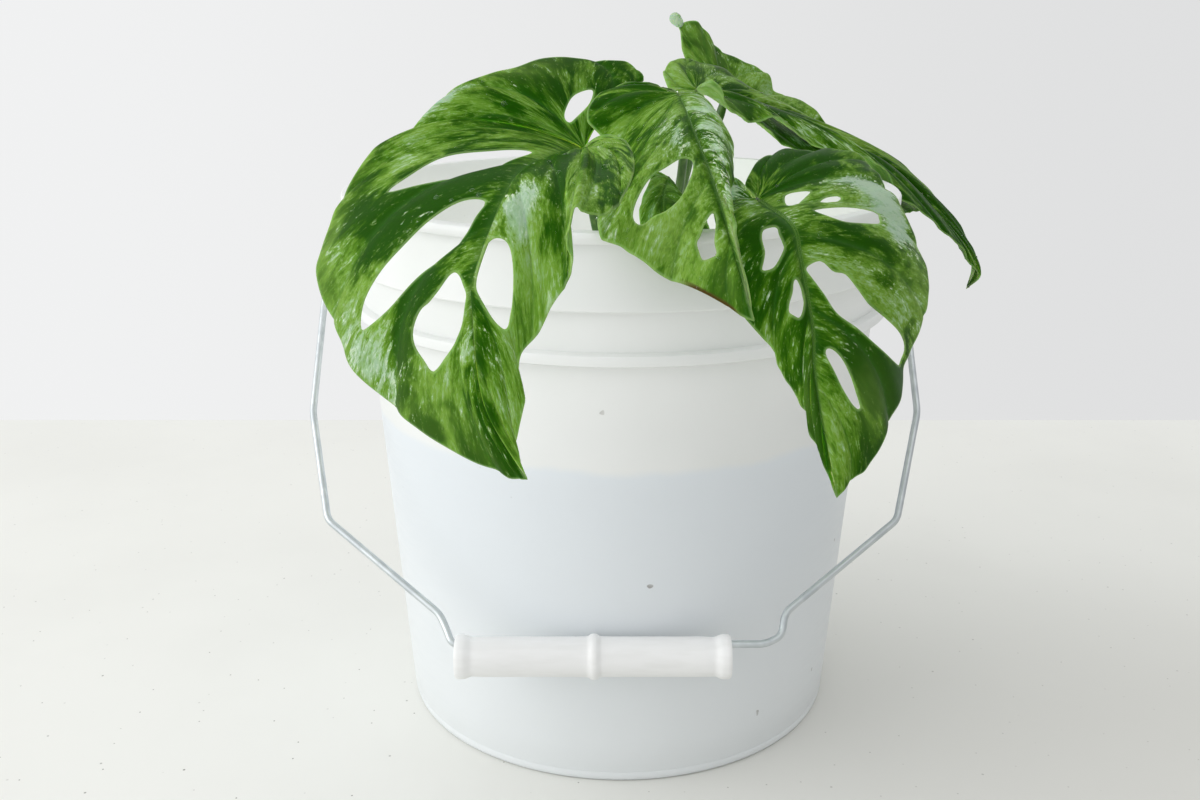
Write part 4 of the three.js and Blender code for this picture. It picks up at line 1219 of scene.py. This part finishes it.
def potting_mix(soil, stones):
    """The filled body with a rough top, strewn with chips of bark and a little pumice."""
    made = bpy.data.objects["potting_mix"]
    made.data.materials.clear()
    made.data.materials.append(soil)
    draw = random.Random(7)
    level, rise, radius, clear = MOUND
    for name, (count, size, thickness) in CHIPS.items():
        points, faces = [], []
        for _ in range(count):
            reach = math.sqrt(draw.random()) * CHIP_REACH
            turn = draw.uniform(0, FULL_TURN)
            x, y = reach * math.cos(turn), reach * math.sin(turn)
            if math.hypot(x - VINE[1][0], y - VINE[1][1]) < VINE_CLEARANCE:
                continue
            ground = level + rise * (1 - (reach / radius) ** 2) + clear
            spin = draw.uniform(0, FULL_TURN)
            tip, roll = draw.uniform(-CHIP_TILT, CHIP_TILT), draw.uniform(-CHIP_TILT, CHIP_TILT)
            long = size * draw.uniform(*CHIP_LENGTHS)
            wide = long * draw.uniform(*CHIP_WIDTHS)
            thick = long * draw.uniform(*thickness)
            start = len(points)
            for layer in (-1, 0, 1):
                for angle in turns(CHIP_CORNERS):
                    shrink = (CHIP_FACE if layer else 1.0) * draw.uniform(*CHIP_CORNER)
                    flat = (long / 2 * math.cos(angle) * shrink, wide / 2 * math.sin(angle) * shrink)
                    p = Vector((*flat, layer * thick / 2))
                    p.z += p.x * tip + p.y * roll + draw.uniform(-CHIP_ROUGH, CHIP_ROUGH) * thick
                    across = p.x * math.cos(spin) - p.y * math.sin(spin)
                    away = p.x * math.sin(spin) + p.y * math.cos(spin)
                    points.append((Vector((across, away, p.z)) + Vector((x, y, ground + thick / 4))) * MM)
            end = len(points)
            faces += bands(3, CHIP_CORNERS, start)
            faces += [tuple(range(start, start + CHIP_CORNERS))[::-1], tuple(range(end - CHIP_CORNERS, end))]
        chips = mesh_object(name, stones[name], points, faces, smooth=False)
        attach(chips, "root")


# Stage, light and camera

def stage():
    """A pale table with flecks, a painted shadow to the pail's right and front, and a room that is bright on one side.
    """
    n = Nodes("table")
    place = n.place()
    table = n.mix(n.ramp(n.noise(place, 7, 4.0), 0.35, 0.75), (0.855, 0.858, 0.818), (0.825, 0.827, 0.788))
    right, away, _ = n.split(place)
    near = n.ramp(away, 0.2, -0.12, 0.3, 0.85)
    for scale, size in FLECKS:
        dot = n.add("ShaderNodeTexVoronoi", {"Vector": place, "Scale": scale}, 0, voronoi_dimensions="2D")
        lot = n.split(dot.node.outputs["Color"])[0]
        fleck = n.times(n.ramp(dot, 0.5 * size, size, 1.0, 0.0), n.times(n.ramp(lot, 0.5, 1.0), near))
        table = n.mix(fleck, table, (0.13, 0.12, 0.1))
    # Painted shadow: the table is darker to the right of the pail and towards the front, where the pail's shadow falls
    painted_shadow = n.times(n.ramp(away, 0.14, -0.06, 0.0, 0.66), n.ramp(right, -0.1, 0.15))
    n.set(Base_Color=n.mix(painted_shadow, table, (0.62, 0.615, 0.58)), Roughness=0.75, Specular_IOR_Level=0.2)
    reach = STAGE_REACH
    corners = [(-reach, -reach, 0), (reach, -reach, 0), (reach, TABLE_EDGE, 0), (-reach, TABLE_EDGE, 0)]
    floor = mesh_object("floor", n.material, corners, [(0, 1, 2, 3)], smooth=False)
    world = bpy.data.worlds.new("room")
    bpy.context.scene.world = world
    world.use_nodes = True
    n = Nodes("room", world.node_tree)
    across, into, up = n.split(n.add("ShaderNodeTexCoord", {}, "Generated"))
    wall = n.ramp(across, -0.45, 0.45, *WALL_SIDES)
    room = n.ramp(across, -0.85, 0.85, *ROOM_SIDES)
    level = n.mix_levels(n.ramp(into, 0.2, 0.7), room, wall)
    background = world.node_tree.nodes["Background"]
    n.put(background.inputs["Strength"], n.mix_levels(n.ramp(up, 0.4, 0.8), level, CEILING))
    n.put(background.inputs["Color"], (0.99, 0.996, 1.0, 1))


def area_light(name, place, aim, size, power, colour):
    data = bpy.data.lights.new(name, "AREA")
    data.shape = "DISK"
    data.size, data.energy, data.color = size, power, colour
    return placed(name, data, place, (Vector(aim) - Vector(place)).to_track_quat("-Z", "Y").to_euler())


def camera():
    data = bpy.data.cameras.new("view")
    data.lens, data.sensor_width = CAMERA_LENS, 36
    data.clip_start, data.clip_end = 0.01, 20
    bpy.context.scene.camera = placed("view", data, CAMERA_PLACE, (math.radians(CAMERA_TILT), 0, 0))


camera()
stage()
area_light("window", *WINDOW)
lamp_inside = area_light("glow", *GLOW)
lamp_inside.visible_camera = lamp_inside.visible_glossy = False
bpy.context.scene.view_settings.view_transform = "Standard"

pail(pail_material())
bail(wire_material())
grip(grip_material())
potting_mix(mix_material("soil", (0.03, 0.018, 0.01), (0.09, 0.055, 0.03)), {
    "bark_chips": mix_material("bark", (0.07, 0.035, 0.018), (0.2, 0.11, 0.055), 0.8),
    "pumice": mix_material("pumice_stone", (0.5, 0.48, 0.43), (0.68, 0.66, 0.6)),
})
middle_line = vine(stem_material("vine_green", (0.09, 0.14, 0.03), (0.2, 0.27, 0.08)))
stalk_green = stem_material("stalk_green", (0.04, 0.11, 0.018), (0.1, 0.19, 0.04))
water = water_material()
for leaf_name, leaf_data in LEAVES.items():
    petiole(leaf_name, leaf_data, middle_line, stalk_green)
    leaf_look = LOOKS[leaf_name]
    spots, upper_face, facing_up = blade(leaf_name, leaf_data, leaf_look)
    if leaf_look["beads"]:
        droplets(f"drops_{leaf_name}", spots, upper_face, facing_up, leaf_look, water)

curled_tip()
